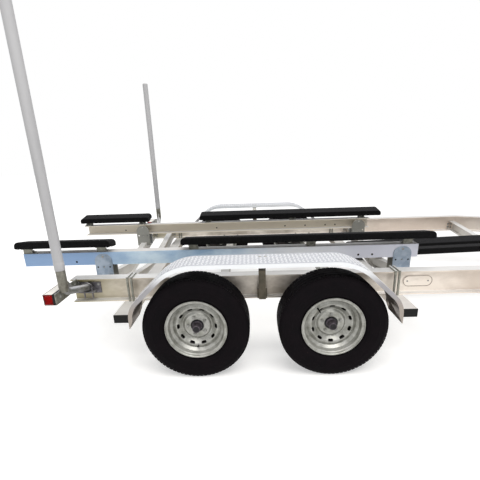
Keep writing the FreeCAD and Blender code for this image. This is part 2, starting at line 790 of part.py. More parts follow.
def strut_outline(inset):
    """The bent strut seen from the front, drawn inside by the inset."""
    under = fender_top - fender_sheet
    lean = math.radians(strut_lean)
    skirt_side = fender_outer - fender_width + fender_sheet
    skirt_foot = fender_top - fender_skirt - strut_skirt_gap
    sides = (rail_outer + inset, rail_outer + strut_depth - inset)
    drops = (inset / math.cos(lean), (strut_depth - inset) / math.cos(lean))
    knees = [skirt_foot + (side - skirt_side) * math.tan(lean) - drop for side, drop in zip(sides, drops)]
    tops = [skirt_side + (under - skirt_foot + drop) / math.tan(lean) for drop in drops]
    spots = [(sides[0], rail_bottom + strut_foot_thickness), (sides[0], knees[0]), (tops[0], under),
             (tops[1], under), (sides[1], knees[1]), (sides[1], rail_bottom + strut_foot_thickness)]
    return [Vector(inset - strut_width / 2, across, up) for across, up in spots]


def fender_strut():
    """The bent tube from the rail's side up and out to a pad under the fender's flat top."""
    under = fender_top - fender_sheet
    outline = strut_outline(0.0)
    bent = prism(outline, along_x * strut_width)
    bent = bent.cut(prism(strut_outline(strut_wall), along_x * (strut_width - 2 * strut_wall)))
    foot = box(Vector(-strut_foot_width / 2, rail_outer, rail_bottom),
               Vector(strut_foot_width / 2, rail_outer + strut_foot_thickness,
                      rail_bottom + strut_foot_height))
    pad = box(Vector(-strut_foot_width / 2, outline[2].y, under - strut_wall),
              Vector(strut_foot_width / 2, outline[3].y + strut_wall, under))
    return bent.fuse(foot).fuse(pad).removeSplitter()


def fender_end_bracket(direction):
    """The channel between a fender arm and the fender's end wall."""
    near = fender_length / 2
    far = arm_station - arm_width / 2
    low = Vector(min(direction * near, direction * far), fender_outer - fender_width + end_bracket_inset,
                 rail_bottom - arm_height)
    high = Vector(max(direction * near, direction * far), arm_tip - end_bracket_inset, rail_bottom)
    return box_tube(low, high, arm_wall, along_z)


# ---- bunk beams and bunks ----

def bunk_beam():
    """A channel with its web outwards, drilled along its length."""
    beam = box(Vector(beam_rear, beam_inner, beam_top - beam_height),
               Vector(beam_front, beam_outer, beam_top))
    beam = beam.cut(box(Vector(beam_rear, beam_inner, beam_top - beam_height + beam_wall),
                        Vector(beam_front, beam_outer - beam_wall, beam_top - beam_wall)))
    for station in beam_hole_stations:
        beam = beam.cut(Part.makeCylinder(beam_hole_diameter / 2, beam_width,
                                          Vector(station, beam_middle, beam_hole_height), along_y))
    return beam


def upright(station, inner):
    """A round-topped plate against one side of the beam, notched over its cross member."""
    half = upright_width / 2
    shoulder = upright_top - upright_round - edge_margin
    low = Vector(station - half, inner, upright_bottom)
    plate = box(low, Vector(station + half, inner + upright_thickness, shoulder))
    head = box(Vector(station - half, inner, shoulder),
               Vector(station + half, inner + upright_thickness, upright_top))
    corners = [edge for edge in head.Edges
               if edge.BoundBox.YLength > upright_thickness / 2
               and edge.CenterOfMass.z > shoulder + edge_margin]
    plate = plate.fuse(head.makeFillet(upright_round, corners)).removeSplitter()
    for step in (-1, 0, 1):
        hole = Vector(station + step * upright_hole_pitch, inner, upright_hole_height)
        plate = plate.cut(Part.makeCylinder(upright_hole_diameter / 2, upright_thickness, hole, along_y))
    notch_top = cross_member_top(inner + upright_thickness)
    notch = prism([Vector(station - cross_width / 2, inner, upright_bottom),
                   Vector(station - cross_width / 2, inner, cross_member_top(inner)),
                   Vector(station - cross_width / 2, inner + upright_thickness, notch_top),
                   Vector(station - cross_width / 2, inner + upright_thickness, upright_bottom)],
                  along_x * cross_width)
    return plate.cut(notch)


def bunk_place(centre_side, tilt):
    """Centre of a tilted bunk's section, from the height of its outer top edge."""
    lean = math.radians(tilt)
    height = bunk_edge_height - bunk_thickness / 2 * math.cos(lean) - bunk_width / 2 * math.sin(lean)
    return Vector(0, centre_side, height)


def bunk(span):
    """One carpeted board along the beam, leaning towards the keel."""
    bar = rounded_bar(span[1] - span[0], bunk_width, bunk_thickness, bunk_round, bunk_end_round)
    bar = bar.rotate(Vector(0, 0, 0), along_x, bunk_tilt)
    bar.translate(bunk_place(bunk_centre, bunk_tilt) + along_x * span[0])
    return bar


def keel_bunk():
    """One of the two low forward boards beside the keel, rising a little forward."""
    length = keel_bunk_span[1] - keel_bunk_span[0]
    lean = cross_slope
    bar = rounded_bar(length, keel_bunk_width, bunk_thickness, bunk_round, bunk_end_round)
    bar = bar.rotate(Vector(0, 0, 0), along_x, math.degrees(lean))
    bar = bar.rotate(Vector(0, 0, 0), along_y, -keel_bunk_rise)
    bar.translate(Vector(keel_bunk_span[0], keel_bunk_outer - keel_bunk_width / 2 * math.cos(lean),
                         keel_bunk_edge_height - bunk_thickness / 2 * math.cos(lean)
                         - keel_bunk_width / 2 * math.sin(lean)))
    return bar


def bunk_bracket(station):
    """A base on the beam, an upright web and a tilted saddle under the board."""
    lean = math.radians(bunk_tilt)
    side = Vector(0, math.cos(lean), math.sin(lean))
    down = Vector(0, math.sin(lean), -math.cos(lean))
    under = bunk_place(bunk_centre, bunk_tilt) + down * (bunk_thickness / 2 + seat_gap)
    seat = under + down * bracket_plate
    start = station - bracket_length / 2
    base = box(Vector(start, beam_middle - bracket_width / 2, beam_top),
               Vector(start + bracket_length, beam_middle + bracket_width / 2, beam_top + bracket_plate))
    corner = under - side * (bracket_width / 2) + along_x * start
    saddle = prism([corner, corner + side * bracket_width,
                    corner + side * bracket_width + down * bracket_plate, corner + down * bracket_plate],
                   along_x * bracket_length)
    half = bracket_web / 2
    rise = half * math.tan(lean)
    web = prism([Vector(start, seat.y - half, beam_top), Vector(start, seat.y + half, beam_top),
                 Vector(start, seat.y + half, seat.z + rise), Vector(start, seat.y - half, seat.z - rise)],
                along_x * bracket_length)
    return base.fuse(saddle).fuse(web).removeSplitter()


def keel_bunk_under(station, side):
    """Height of the left keel bunk's underside."""
    lean = cross_slope
    rise = math.radians(keel_bunk_rise)
    edge = keel_bunk_outer + bunk_thickness / 2 * math.sin(lean)
    height = keel_bunk_edge_height - bunk_thickness * math.cos(lean)
    height += (station - keel_bunk_span[0]) * math.tan(rise)
    return height - (edge - side) * math.tan(lean) / math.cos(rise)


def keel_block(station, seat_height):
    """A post between a cross piece's upper face and the underside of the left keel bunk."""
    middle = keel_bunk_outer - keel_bunk_width / 2
    sides = (middle - keel_block_width / 2, middle + keel_block_width / 2)
    rear = station - keel_block_length / 2
    outline = [Vector(rear, side, seat_height(side)) for side in sides]
    outline += [Vector(rear, side, keel_bunk_under(rear, side) - seat_gap) for side in reversed(sides)]
    return prism(outline, along_x * keel_block_length)


# ---- guide posts ----

def post_arm_path():
    """The middle line of the arm, started inside the web plate so that its end can be cut flush."""
    corner = Vector(post_station, post_side, post_bend_height)
    inner = Vector(post_arm_station, web_outer + web_plate_thickness, post_arm_height)
    start = inner + (inner - corner).normalize() * post_arm_diameter
    top = Vector(post_station, post_side, post_base + post_stub_length)
    return fillet_path([start, corner, top], [post_bend_radius])


def post_arm():
    """A bent tube from the rail's clamp out and up into the post, with a gusset in its elbow."""
    path = post_arm_path()
    corner = Vector(post_station, post_side, post_bend_height)
    whole = swept_rod(path, post_arm_diameter / 2)
    whole = whole.cut(swept_rod(path, post_arm_diameter / 2 - post_arm_wall))
    end_side = web_outer + web_plate_thickness + post_arm_end_gap
    whole = cut_beyond(whole, Vector(0, end_side, 0), -along_y)
    inward = path.Edges[0].tangentAt(path.Edges[0].FirstParameter) * -1
    gusset = prism([corner, corner + inward * gusset_leg, corner + along_z * gusset_leg],
                   along_x * gusset_thickness)
    gusset.translate(along_x * (-gusset_thickness / 2))
    gusset = gusset.cut(swept_rod(path, post_arm_diameter / 2 - post_arm_wall / 2))
    return whole.fuse(gusset).removeSplitter()


def post_clamp():
    """The angle on the rail's web with the U-bolt that holds the post's arm."""
    low, high = web_plate_height
    face = web_outer + web_plate_thickness
    plate = box(Vector(web_plate_span[0], web_outer, low), Vector(web_plate_span[1], face, high))
    line = post_arm_path().Edges[0]
    along = line.tangentAt(line.FirstParameter)
    start = line.valueAt(line.FirstParameter)
    middle = start + along * ((face + clamp_reach - start.y) / along.y)
    reach = post_arm_diameter / 2 + clamp_side_gap + clamp_rod / 2
    shelf = box(Vector(middle.x - web_shelf_length / 2, web_outer, web_shelf_top - web_plate_thickness),
                Vector(middle.x + web_shelf_length / 2, face + web_shelf_depth, web_shelf_top))
    legs = [Vector(middle.x + turn * reach, middle.y, web_shelf_top - clamp_tail) for turn in (-1, 1)]
    tops = [Vector(leg.x, leg.y, middle.z + clamp_rise) for leg in legs]
    crown = Vector(middle.x, middle.y, middle.z + clamp_rise + reach)
    bolt = Part.Wire([Part.LineSegment(legs[0], tops[0]).toShape(),
                      Part.Arc(tops[0], crown, tops[1]).toShape(),
                      Part.LineSegment(tops[1], legs[1]).toShape()])
    cradle = Part.makeCylinder(post_arm_diameter / 2 + shelf_gap, line.Length, start, along)
    cradle = cut_beyond(cradle, Vector(0, face, 0), -along_y)
    return plate.fuse(shelf.cut(cradle)).fuse(swept_rod(bolt, clamp_rod / 2)).removeSplitter()


def guide_post():
    """A plastic pipe over the top of the arm, closed by a cap."""
    pipe = tube(post_diameter / 2, (post_diameter - post_arm_diameter) / 2 - post_fit,
                Vector(post_station, post_side, post_base), along_z, post_top - post_base)
    cap = Part.makeCylinder(post_diameter / 2, post_cap_height,
                            Vector(post_station, post_side, post_top), along_z)
    rims = [edge for edge in cap.Edges if edge.CenterOfMass.z > post_top + post_cap_height - edge_margin
            and isinstance(edge.Curve, Part.Circle)]
    return pipe.fuse(cap.makeFillet(post_cap_round, rims)).removeSplitter()


# ---- tail lamps ----

def lamp_bracket():
    """The plate that carries a lamp out from the rail's rear end."""
    plate = box(Vector(lamp_front, lamp_bracket_inner, lamp_bottom),
                Vector(lamp_front + lamp_bracket_sheet, lamp_outer, lamp_bottom + lamp_height))
    tab_top = rail_top - rail_flange_depth - lamp_bracket_sheet
    tab = box(Vector(lamp_front, web_outer + web_plate_thickness, lamp_bottom),
              Vector(lamp_front + lamp_bracket_sheet, lamp_bracket_inner, tab_top))
    return plate.fuse(tab).removeSplitter()


def lamp_block(front, rear, round_rear):
    """A block of the lamp between two X stations, with rounded rear edges."""
    block = box(Vector(rear, lamp_outer - lamp_length, lamp_bottom),
                Vector(front, lamp_outer, lamp_bottom + lamp_height))
    edges = [edge for edge in block.Edges
             if abs(edge.CenterOfMass.x - rear) < edge_margin or edge.BoundBox.XLength > edge_margin]
    return block.makeFillet(lamp_round, edges) if round_rear else block


# ---- coupler, winch stand and jack ----

def coupler():
    """A saddle on the tongue's end drawn in to a domed socket for the ball."""
    half = tongue_beam_size / 2
    outer = half + coupler_wall
    rear = tongue_beam_front - coupler_length
    top = tongue_beam_top + coupler_wall
    saddle = box(Vector(rear, -outer, top - coupler_drop), Vector(tongue_beam_front, outer, top))
    saddle = saddle.cut(box(Vector(rear, -half, top - coupler_drop),
                            Vector(tongue_beam_front, half, tongue_beam_top)))
    dome_radius = coupler_dome_diameter / 2
    bottom = top - socket_depth - coupler_wall
    near = coupler_station - ball_diameter / 2 - coupler_wall
    slim = coupler_neck_width / 2
    wide_end = [Vector(tongue_beam_front, side, height)
                for side, height in ((-outer, top), (outer, top), (outer, top - coupler_drop),
                                     (-outer, top - coupler_drop), (-outer, top))]
    slim_end = [Vector(near, side, height)
                for side, height in ((-slim, top), (slim, top), (slim, bottom), (-slim, bottom),
                                     (-slim, top))]
    neck = Part.makeLoft([Part.makePolygon(wide_end), Part.makePolygon(slim_end)], True, True)
    dome = Part.makeCylinder(dome_radius, top - bottom, Vector(coupler_station, 0, bottom), along_z)
    ball = Part.makeSphere(dome_radius, Vector(coupler_station, 0, top - dome_radius / 2))
    crown = Part.makeCylinder(dome_radius, dome_radius, Vector(coupler_station, 0, top - coupler_wall), along_z)
    lip = Part.makeCylinder(dome_radius + coupler_lip, coupler_wall,
                            Vector(coupler_station, 0, bottom), along_z)
    whole = saddle.fuse(neck).fuse(dome).fuse(ball.common(crown)).fuse(lip)
    socket = Part.makeCylinder(ball_diameter / 2, socket_depth, Vector(coupler_station, 0, bottom), along_z)
    return whole.cut(socket).removeSplitter()


def coupler_latch():
    """The lever on top of the coupler's neck, between two ears."""
    top = tongue_beam_top + coupler_wall
    front = tongue_beam_front + latch_setback
    half = latch_width / 2
    lever_top = top + latch_rise + latch_thickness
    block = box(Vector(front - latch_block, -half, top), Vector(front, half, lever_top))
    lever = box(Vector(front - latch_length, -half, top + latch_rise), Vector(front, half, lever_top))
    grip = Part.makeCylinder(latch_grip / 2, latch_width + 2 * latch_grip,
                             Vector(front - latch_length, -half - latch_grip,
                                    top + latch_rise + latch_grip / 2), along_y)
    pin = Part.makeCylinder(latch_pin / 2, latch_width + 4 * latch_pin,
                            Vector(front - latch_block / 2, -half - 2 * latch_pin,
                                   top + latch_pin), along_y)
    return block.fuse(lever).fuse(grip).fuse(pin).removeSplitter()


def winch_post():
    """The post on the tongue beam with its foot plates, arms for the bow stop and winch shelf."""
    half = winch_post_size / 2
    beam_half = tongue_beam_size / 2
    post = box_tube(Vector(winch_station - half, -half, tongue_beam_top),
                    Vector(winch_station + half, half, winch_post_height), winch_post_wall, along_z)
    foot_top = tongue_beam_top + winch_foot_thickness
    foot = box(Vector(winch_station - winch_foot_length / 2, -beam_half, tongue_beam_top),
               Vector(winch_station + winch_foot_length / 2, beam_half, foot_top))
    shelf = box(Vector(winch_station - winch_cheek_length / 2, -half - winch_shelf_overhang,
                       winch_post_height),
                Vector(winch_station + winch_cheek_length / 2, half + winch_shelf_overhang,
                       winch_post_height + winch_foot_thickness))
    whole = post.fuse(foot).fuse(shelf)
    for side in (-1, 1):
        plate_middle = side * (half + winch_arm_thickness / 2)
        whole = whole.fuse(box(
            Vector(winch_station - half - bow_arm_reach, plate_middle - winch_arm_thickness / 2,
                   bow_arm_height - bow_arm_depth / 2),
            Vector(winch_station + half, plate_middle + winch_arm_thickness / 2,
                   bow_arm_height + bow_arm_depth / 2)))
        brace = prism([Vector(winch_station + turn * half, plate_middle - winch_arm_thickness / 2, foot_top)
                       + Vector(turn * away, 0, up)
                       for turn, away, up in ((-1, 0.0, winch_gusset), (-1, winch_gusset, 0.0),
                                              (1, winch_gusset, 0.0), (1, 0.0, winch_gusset))],
                      along_y * winch_arm_thickness)
        whole = whole.fuse(brace)
    return whole.removeSplitter()


def bow_stop():
    """A rubber block with a V notch that meets the boat's stem."""
    front = winch_station - winch_post_size / 2 - bow_arm_reach
    rear = front - bow_stop_depth
    half = bow_stop_width / 2
    outline = [Vector(front, -half, 0), Vector(front, half, 0), Vector(rear, half, 0),
               Vector(front - bow_stop_web, 0, 0), Vector(rear, -half, 0)]
    lift = along_z * (bow_arm_height - bow_stop_height / 2)
    block = prism([point + lift for point in outline], along_z * bow_stop_height)
    level = [edge for edge in block.Edges if edge.BoundBox.ZLength < bow_stop_round]
    return block.makeFillet(bow_stop_round, level)


def winch_frame():
    """Two cheeks and a base that carry the drum's shaft."""
    base = winch_post_height + winch_foot_thickness
    half = winch_cheek_gap / 2
    outer = half + winch_cheek_thickness
    top = base + winch_cheek_height
    frame = box(Vector(winch_station - winch_cheek_length / 2, -outer, base),
                Vector(winch_station + winch_cheek_length / 2, outer, top))
    corners = [edge for edge in frame.Edges
               if edge.BoundBox.YLength > half and edge.CenterOfMass.z > top - winch_cheek_thickness]
    frame = frame.makeFillet(winch_cheek_round, corners)
    frame = frame.cut(box(Vector(winch_station - winch_cheek_length, -half, base + winch_cheek_thickness),
                          Vector(winch_station + winch_cheek_length, half, top)))
    shaft = Part.makeCylinder(winch_rod / 2, 2 * outer,
                              Vector(winch_station, -outer, base + winch_cheek_height / 2), along_y)
    return frame.cut(shaft)


def winch_drum():
    """The drum between its flanges, with its shaft and crank."""
    middle = winch_post_height + winch_foot_thickness + winch_cheek_height / 2
    half = winch_cheek_gap / 2 - winch_drum_gap
    drum = Part.makeCylinder(winch_drum_diameter / 2, 2 * half, Vector(winch_station, -half, middle), along_y)
    for start in (-half, half - winch_drum_sheet):
        drum = drum.fuse(Part.makeCylinder(winch_drum_flange / 2, winch_drum_sheet,
                                           Vector(winch_station, start, middle), along_y))
    shaft_start = -winch_cheek_gap / 2 - winch_shaft_tail
    crank_side = winch_cheek_gap / 2 + winch_crank_gap
    shaft_end = crank_side + winch_crank_thickness + winch_shaft_tail
    drum = drum.fuse(Part.makeCylinder(winch_rod / 2 - running_clearance, shaft_end - shaft_start,
                                       Vector(winch_station, shaft_start, middle), along_y))
    half_arm = winch_crank_width / 2
    handle_station = winch_station + winch_crank_reach
    crank = box(Vector(winch_station, crank_side, middle - half_arm),
                Vector(handle_station, crank_side + winch_crank_thickness, middle + half_arm))
    for station in (winch_station, handle_station):
        crank = crank.fuse(Part.makeCylinder(half_arm, winch_crank_thickness,
                                             Vector(station, crank_side, middle), along_y))
    handle = Part.makeCylinder(winch_grip / 2, winch_grip_length,
                               Vector(handle_station, crank_side, middle), along_y)
    return drum.fuse(crank).fuse(handle).removeSplitter()


def jack_mount():
    """The plate on the tongue beam's side with the pin on which the jack swivels."""
    side = tongue_beam_size / 2
    low = Vector(jack_station - jack_plate_length / 2, side, tongue_beam_top - tongue_beam_size)
    high = Vector(jack_station + jack_plate_length / 2, side + jack_plate, tongue_beam_top)
    pin = Part.makeCylinder(jack_pin_diameter / 2, jack_plate + jack_pin_length,
                            Vector(jack_station, side, tongue_beam_middle), along_y)
    return box(low, high).fuse(pin)


def jack_tube():
    """The jack's outer tube with its swivel boss, head and handle."""
    length = jack_tube_top - jack_tube_bottom
    outer = Part.makeCylinder(jack_tube_diameter / 2, length,
                              Vector(jack_station, jack_side, jack_tube_bottom), along_z)
    boss = Part.makeCylinder(jack_boss_diameter / 2, jack_side - jack_boss_inner,
                             Vector(jack_station, jack_boss_inner, tongue_beam_middle), along_y)
    head = Part.makeCylinder(jack_tube_diameter / 2 + jack_head_rim, jack_head_height + jack_head_rim,
                             Vector(jack_station, jack_side, jack_tube_top - jack_head_rim), along_z)
    stem_bottom = jack_tube_top + jack_head_height
    lever_height = stem_bottom + jack_stem_length - jack_handle_rod
    stem = Part.makeCylinder(jack_handle_rod / 2, jack_stem_length,
                             Vector(jack_station, jack_side, stem_bottom), along_z)
    lever = Part.makeCylinder(jack_handle_rod / 2, jack_handle_reach,
                              Vector(jack_station, jack_side, lever_height), along_y)
    grip = Part.makeCylinder(jack_handle_rod, jack_grip_length,
                             Vector(jack_station, jack_side + jack_handle_reach,
                                    lever_height - jack_handle_rod), along_z)
    whole = outer.fuse(boss).fuse(head).fuse(stem).fuse(lever).fuse(grip)
    leg_bore = Part.makeCylinder(jack_leg_diameter / 2 + running_clearance, length - jack_foot_thickness,
                                 Vector(jack_station, jack_side, jack_tube_bottom), along_z)
    pin_bore = Part.makeCylinder(jack_pin_diameter / 2 + running_clearance,
                                 jack_pin_length + jack_pin_end_gap,
                                 Vector(jack_station, tongue_beam_size / 2 + jack_plate, tongue_beam_middle),
                                 along_y)
    return whole.cut(leg_bore).cut(pin_bore).removeSplitter()


def jack_leg():
    """The jack's inner tube on its square foot."""
    leg = tube(jack_leg_diameter / 2, jack_leg_wall, Vector(jack_station, jack_side, jack_foot_thickness),
               along_z, jack_leg_top - jack_foot_thickness)
    half = jack_foot_size / 2
    foot = box(Vector(jack_station - half, jack_side - half, 0),
               Vector(jack_station + half, jack_side + half, jack_foot_thickness))
    corners = [edge for edge in foot.Edges if edge.BoundBox.ZLength > jack_foot_thickness / 2]
    return leg.fuse(foot.makeFillet(jack_foot_round, corners))


def save_frame():
    rail = main_rail()
    save("main_rail_left", [rail])
    save("main_rail_right", [mirrored(rail)])
    save("tongue_rails", both_sides([tongue_rail()]))
    save("tongue_beam", [tongue_beam()])
    save("cross_members", [cross_member(station) for station in cross_stations.values()] + [bow_tube()])
    clips = [cross_clip(station, direction) for name, station in cross_stations.items()
             for direction in (-1, 1) if name != "tongue" or direction < 0]
    save("cross_clips", both_sides(clips))
    for row, station in axle_stations.items():
        save("axle_" + row, [axle(station)])
    stations = (-arm_station, arm_station)
    save("fender_arms", [fender_arm(station) for station in stations])
    save("arm_caps", both_sides([arm_cap(station) for station in stations]))
    bolts = [rail_u_bolt(station + step * u_bolt_spacing / 2) for station in stations for step in (-1, 1)]
    save("rail_u_bolts", both_sides(bolts))
    save("side_plates", both_sides([side_plate()]))


def save_fenders():
    shape = fender()
    save("fender_left", [shape])
    save("fender_right", [mirrored(shape)])
    brackets = [fender_strut(), fender_end_bracket(1), fender_end_bracket(-1)]
    save("fender_brackets", both_sides(brackets))


def save_bunks():
    save("bunk_beams", both_sides([bunk_beam()]))
    plates = [upright(cross_stations[row], inner) for row in ("rear", "front")
              for inner in (beam_inner - upright_thickness, beam_outer)]
    save("bunk_uprights", both_sides(plates))
    for name, span in bunk_spans.items():
        save(name + "_bunks", both_sides([bunk(span)]))
    save("keel_bunks", both_sides([keel_bunk()]))
    save("bunk_brackets", both_sides([bunk_bracket(station) for station in bracket_stations]))
    blocks = [keel_block(cross_stations["front"], cross_member_top),
              keel_block(cross_stations["tongue"], cross_member_top),
              keel_block(bow_tube_station, lambda side: cross_seat + bow_tube_height)]
    save("keel_blocks", both_sides(blocks))


def save_posts_and_lamps():
    save("post_arms", both_sides([post_arm()]))
    save("post_clamps", both_sides([post_clamp()]))
    save("guide_posts", both_sides([guide_post()]))
    save("lamp_brackets", both_sides([lamp_bracket()]))
    lens_front = lamp_front - lamp_base_thickness
    save("lamp_bases", both_sides([lamp_block(lamp_front, lens_front, False)]))
    save("lamp_lenses", both_sides([lamp_block(lens_front, lamp_front - lamp_depth, True)]))


def save_tongue_gear():
    save("coupler", [coupler()])
    save("coupler_latch", [coupler_latch()])
    save("winch_post", [winch_post()])
    save("bow_stop", [bow_stop()])
    save("winch_frame", [winch_frame()])
    save("winch_drum", [winch_drum()])
    save("jack_mount", [jack_mount()])
    save("jack_tube", [jack_tube()])
    save("jack_leg", [jack_leg()])


os.makedirs("parts", exist_ok=True)
save_wheels()
save_frame()
save_fenders()
save_bunks()
save_posts_and_lamps()
save_tongue_gear()
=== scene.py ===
import json
import math

import bpy
from mathutils import Matrix, Vector


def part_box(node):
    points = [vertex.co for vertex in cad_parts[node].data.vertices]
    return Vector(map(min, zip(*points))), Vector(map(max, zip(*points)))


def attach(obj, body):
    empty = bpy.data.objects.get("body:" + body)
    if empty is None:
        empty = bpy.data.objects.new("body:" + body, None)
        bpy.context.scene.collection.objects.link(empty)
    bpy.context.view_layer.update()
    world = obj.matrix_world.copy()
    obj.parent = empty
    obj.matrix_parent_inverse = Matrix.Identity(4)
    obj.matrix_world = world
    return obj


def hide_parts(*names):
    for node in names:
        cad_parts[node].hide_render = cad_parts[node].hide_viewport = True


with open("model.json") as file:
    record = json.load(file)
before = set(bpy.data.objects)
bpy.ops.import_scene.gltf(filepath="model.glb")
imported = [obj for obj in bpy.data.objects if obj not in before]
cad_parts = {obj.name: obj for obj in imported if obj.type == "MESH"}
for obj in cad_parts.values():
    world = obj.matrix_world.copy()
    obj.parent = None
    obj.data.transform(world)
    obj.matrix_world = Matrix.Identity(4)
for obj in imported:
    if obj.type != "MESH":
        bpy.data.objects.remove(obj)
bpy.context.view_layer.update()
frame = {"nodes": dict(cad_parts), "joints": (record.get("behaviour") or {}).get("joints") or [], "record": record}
nodes = frame["nodes"]
wheelCentres = {joint["child"]: Vector(joint["pos_m"]) for joint in frame["joints"]
                if joint.get("continuous")}

# helpers for modelling


def clearSelection():
    if bpy.context.mode != "OBJECT":
        bpy.ops.object.mode_set(mode="OBJECT")
    bpy.ops.object.select_all(action="DESELECT")


def takeUp(piece):
    clearSelection()
    piece.select_set(True)
    bpy.context.view_layer.objects.active = piece


def discard(piece):
    bpy.data.objects.remove(piece)


def settle(piece):
    takeUp(piece)
    bpy.ops.object.transform_apply(location=True, rotation=True, scale=True)
    return piece


def justAdded(name):
    piece = bpy.context.object
    piece.name = name
    return settle(piece)


def addBlock(name, low, high):
    clearSelection()
    bpy.ops.mesh.primitive_cube_add(size=1, location=(Vector(low) + Vector(high)) / 2,
                                    scale=Vector(high) - Vector(low))
    return justAdded(name)


def addRod(name, radius, start, end, sides=24, tip=None):
    clearSelection()
    along = Vector(end) - Vector(start)
    bpy.ops.mesh.primitive_cone_add(vertices=sides, radius1=radius, radius2=radius if tip is None else tip,
                                    depth=along.length, location=(Vector(start) + Vector(end)) / 2,
                                    rotation=along.to_track_quat("Z", "Y").to_euler())
    return justAdded(name)


def editOnly(piece, mode, kind, wanted):   # opens edit mode with only the wanted faces or edges selected
    takeUp(piece)
    bpy.ops.object.mode_set(mode="EDIT")
    bpy.ops.mesh.select_mode(type=mode)
    bpy.ops.mesh.select_all(action="DESELECT")
    bpy.ops.object.mode_set(mode="OBJECT")
    for item in getattr(piece.data, kind):
        item.select = bool(wanted(item))
    bpy.ops.object.mode_set(mode="EDIT")


def editFaces(piece, wanted):
    editOnly(piece, "FACE", "polygons", lambda face: wanted(face.center, face.normal))


def editEdges(piece, wanted):
    editOnly(piece, "EDGE", "edges",
             lambda edge: wanted(*(piece.data.vertices[i].co for i in edge.vertices)))


def lookingUp(centre, normal):
    return normal.z > 0.9


def lookingDown(centre, normal):
    return normal.z < -0.9


def backToObject():
    bpy.ops.object.mode_set(mode="OBJECT")


def sinkFaces(piece, wanted, inset, lift):   # sets faces in and moves them up or down
    editFaces(piece, wanted)
    bpy.ops.mesh.inset(thickness=inset)
    bpy.ops.transform.translate(value=(0, 0, lift))
    backToObject()


def extrudeBy(*step):
    bpy.ops.mesh.extrude_region_move(TRANSFORM_OT_translate={"value": step})


def bevelEdges(piece, wanted, width, segments):
    editEdges(piece, wanted)
    bpy.ops.mesh.bevel(offset=width, segments=segments, affect="EDGES")
    backToObject()


def editAll(piece):
    takeUp(piece)
    bpy.ops.object.mode_set(mode="EDIT")
    bpy.ops.mesh.select_mode(type="VERT")
    bpy.ops.mesh.select_all(action="SELECT")


def useModifier(piece, kind, **settings):
    takeUp(piece)
    modifier = piece.modifiers.new(kind.lower(), kind)
    for name, value in settings.items():
        setattr(modifier, name, value)
    bpy.ops.object.modifier_apply(modifier=modifier.name)


def roundEdges(piece, width, segments, angle=40):
    useModifier(piece, "BEVEL", width=width, segments=segments, limit_method="ANGLE",
                angle_limit=math.radians(angle))


def openThrough(piece, axis, rim):   # a hole along the axis that leaves a rim
    editFaces(piece, lambda centre, normal: abs(normal[axis]) > 0.9)
    bpy.ops.mesh.inset(thickness=rim, use_individual=True)
    bpy.ops.mesh.bridge_edge_loops()
    backToObject()
    return piece


def mergeDoubles(piece, distance=0.00002):
    editAll(piece)
    bpy.ops.mesh.remove_doubles(threshold=distance)
    bpy.ops.mesh.normals_make_consistent(inside=False)
    backToObject()


def joinPieces(pieces, name):
    clearSelection()
    for piece in pieces:
        piece.select_set(True)
    bpy.context.view_layer.objects.active = pieces[0]
    if len(pieces) > 1:
        bpy.ops.object.join()
    whole = bpy.context.object
    whole.name = name
    return whole


def copyAt(master, place):
    takeUp(master)
    bpy.ops.object.duplicate(linked=False)
    copy = bpy.context.object
    copy.matrix_world = place
    return settle(copy)


def copiesOf(master, name, places):
    copies = [copyAt(master, place) for place in places]
    discard(master)
    return joinPieces(copies, name)


def camelName(slot):   # "red_lens" becomes "redLens"
    first, *others = slot.split("_")
    return first + "".join(word.capitalize() for word in others)


def finishPiece(piece, slot, smooth=32, finish=None, body="chassis"):   # its slot's finish, or its own
    mergeDoubles(piece)
    takeUp(piece)
    bpy.ops.object.shade_smooth_by_angle(angle=math.radians(smooth))
    piece.data.materials.clear()
    piece.data.materials.append(finishes[finish or camelName(slot)])
    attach(piece, body)
    return piece


def onWheels(master, label, slot, smooth, finish=None):   # a copy on each wheel, facing outwards
    pieces = {}
    for body, centre in wheelCentres.items():
        corner = body.removeprefix("wheel_")
        turn = Matrix.Rotation(0 if centre.y > 0 else math.pi, 4, "Z")
        piece = copyAt(master, Matrix.Translation(centre) @ turn)
        piece.name = label + "." + corner
        pieces[corner] = finishPiece(piece, slot, smooth, finish, body)
    discard(master)
    return pieces


def drawOutline(name, points):   # a line of (distance along the axle, radius), left in edit mode
    clearSelection()
    bpy.ops.mesh.primitive_plane_add(size=0.001, location=(0, 0, 0))
    piece = bpy.context.object
    piece.name = name
    editAll(piece)
    bpy.ops.mesh.merge(type="CENTER")
    bpy.ops.transform.translate(value=(0, *points[0]))
    for start, end in zip(points, points[1:]):
        extrudeBy(0, end[0] - start[0], end[1] - start[1])
    bpy.ops.mesh.select_all(action="SELECT")
    return piece


def turnedPiece(name, points, steps=40):   # the outline turned about the axle
    piece = drawOutline(name, points)
    bpy.ops.mesh.spin(steps=steps, angle=2 * math.pi, center=(0, 0, 0), axis=(0, 1, 0))
    backToObject()
    mergeDoubles(piece)
    return piece


def makeDome(name, size, segments, rings, closed):   # the upper half of a ball, on z = 0
    clearSelection()
    bpy.ops.mesh.primitive_uv_sphere_add(segments=segments, ring_count=rings, radius=1, location=(0, 0, 0))
    dome = justAdded(name)
    editAll(dome)
    bpy.ops.mesh.bisect(plane_co=(0, 0, 0), plane_no=(0, 0, 1), clear_inner=True, use_fill=closed)
    bpy.ops.mesh.select_all(action="SELECT")
    bpy.ops.transform.resize(value=size, center_override=(0, 0, 0))
    backToObject()
    return dome


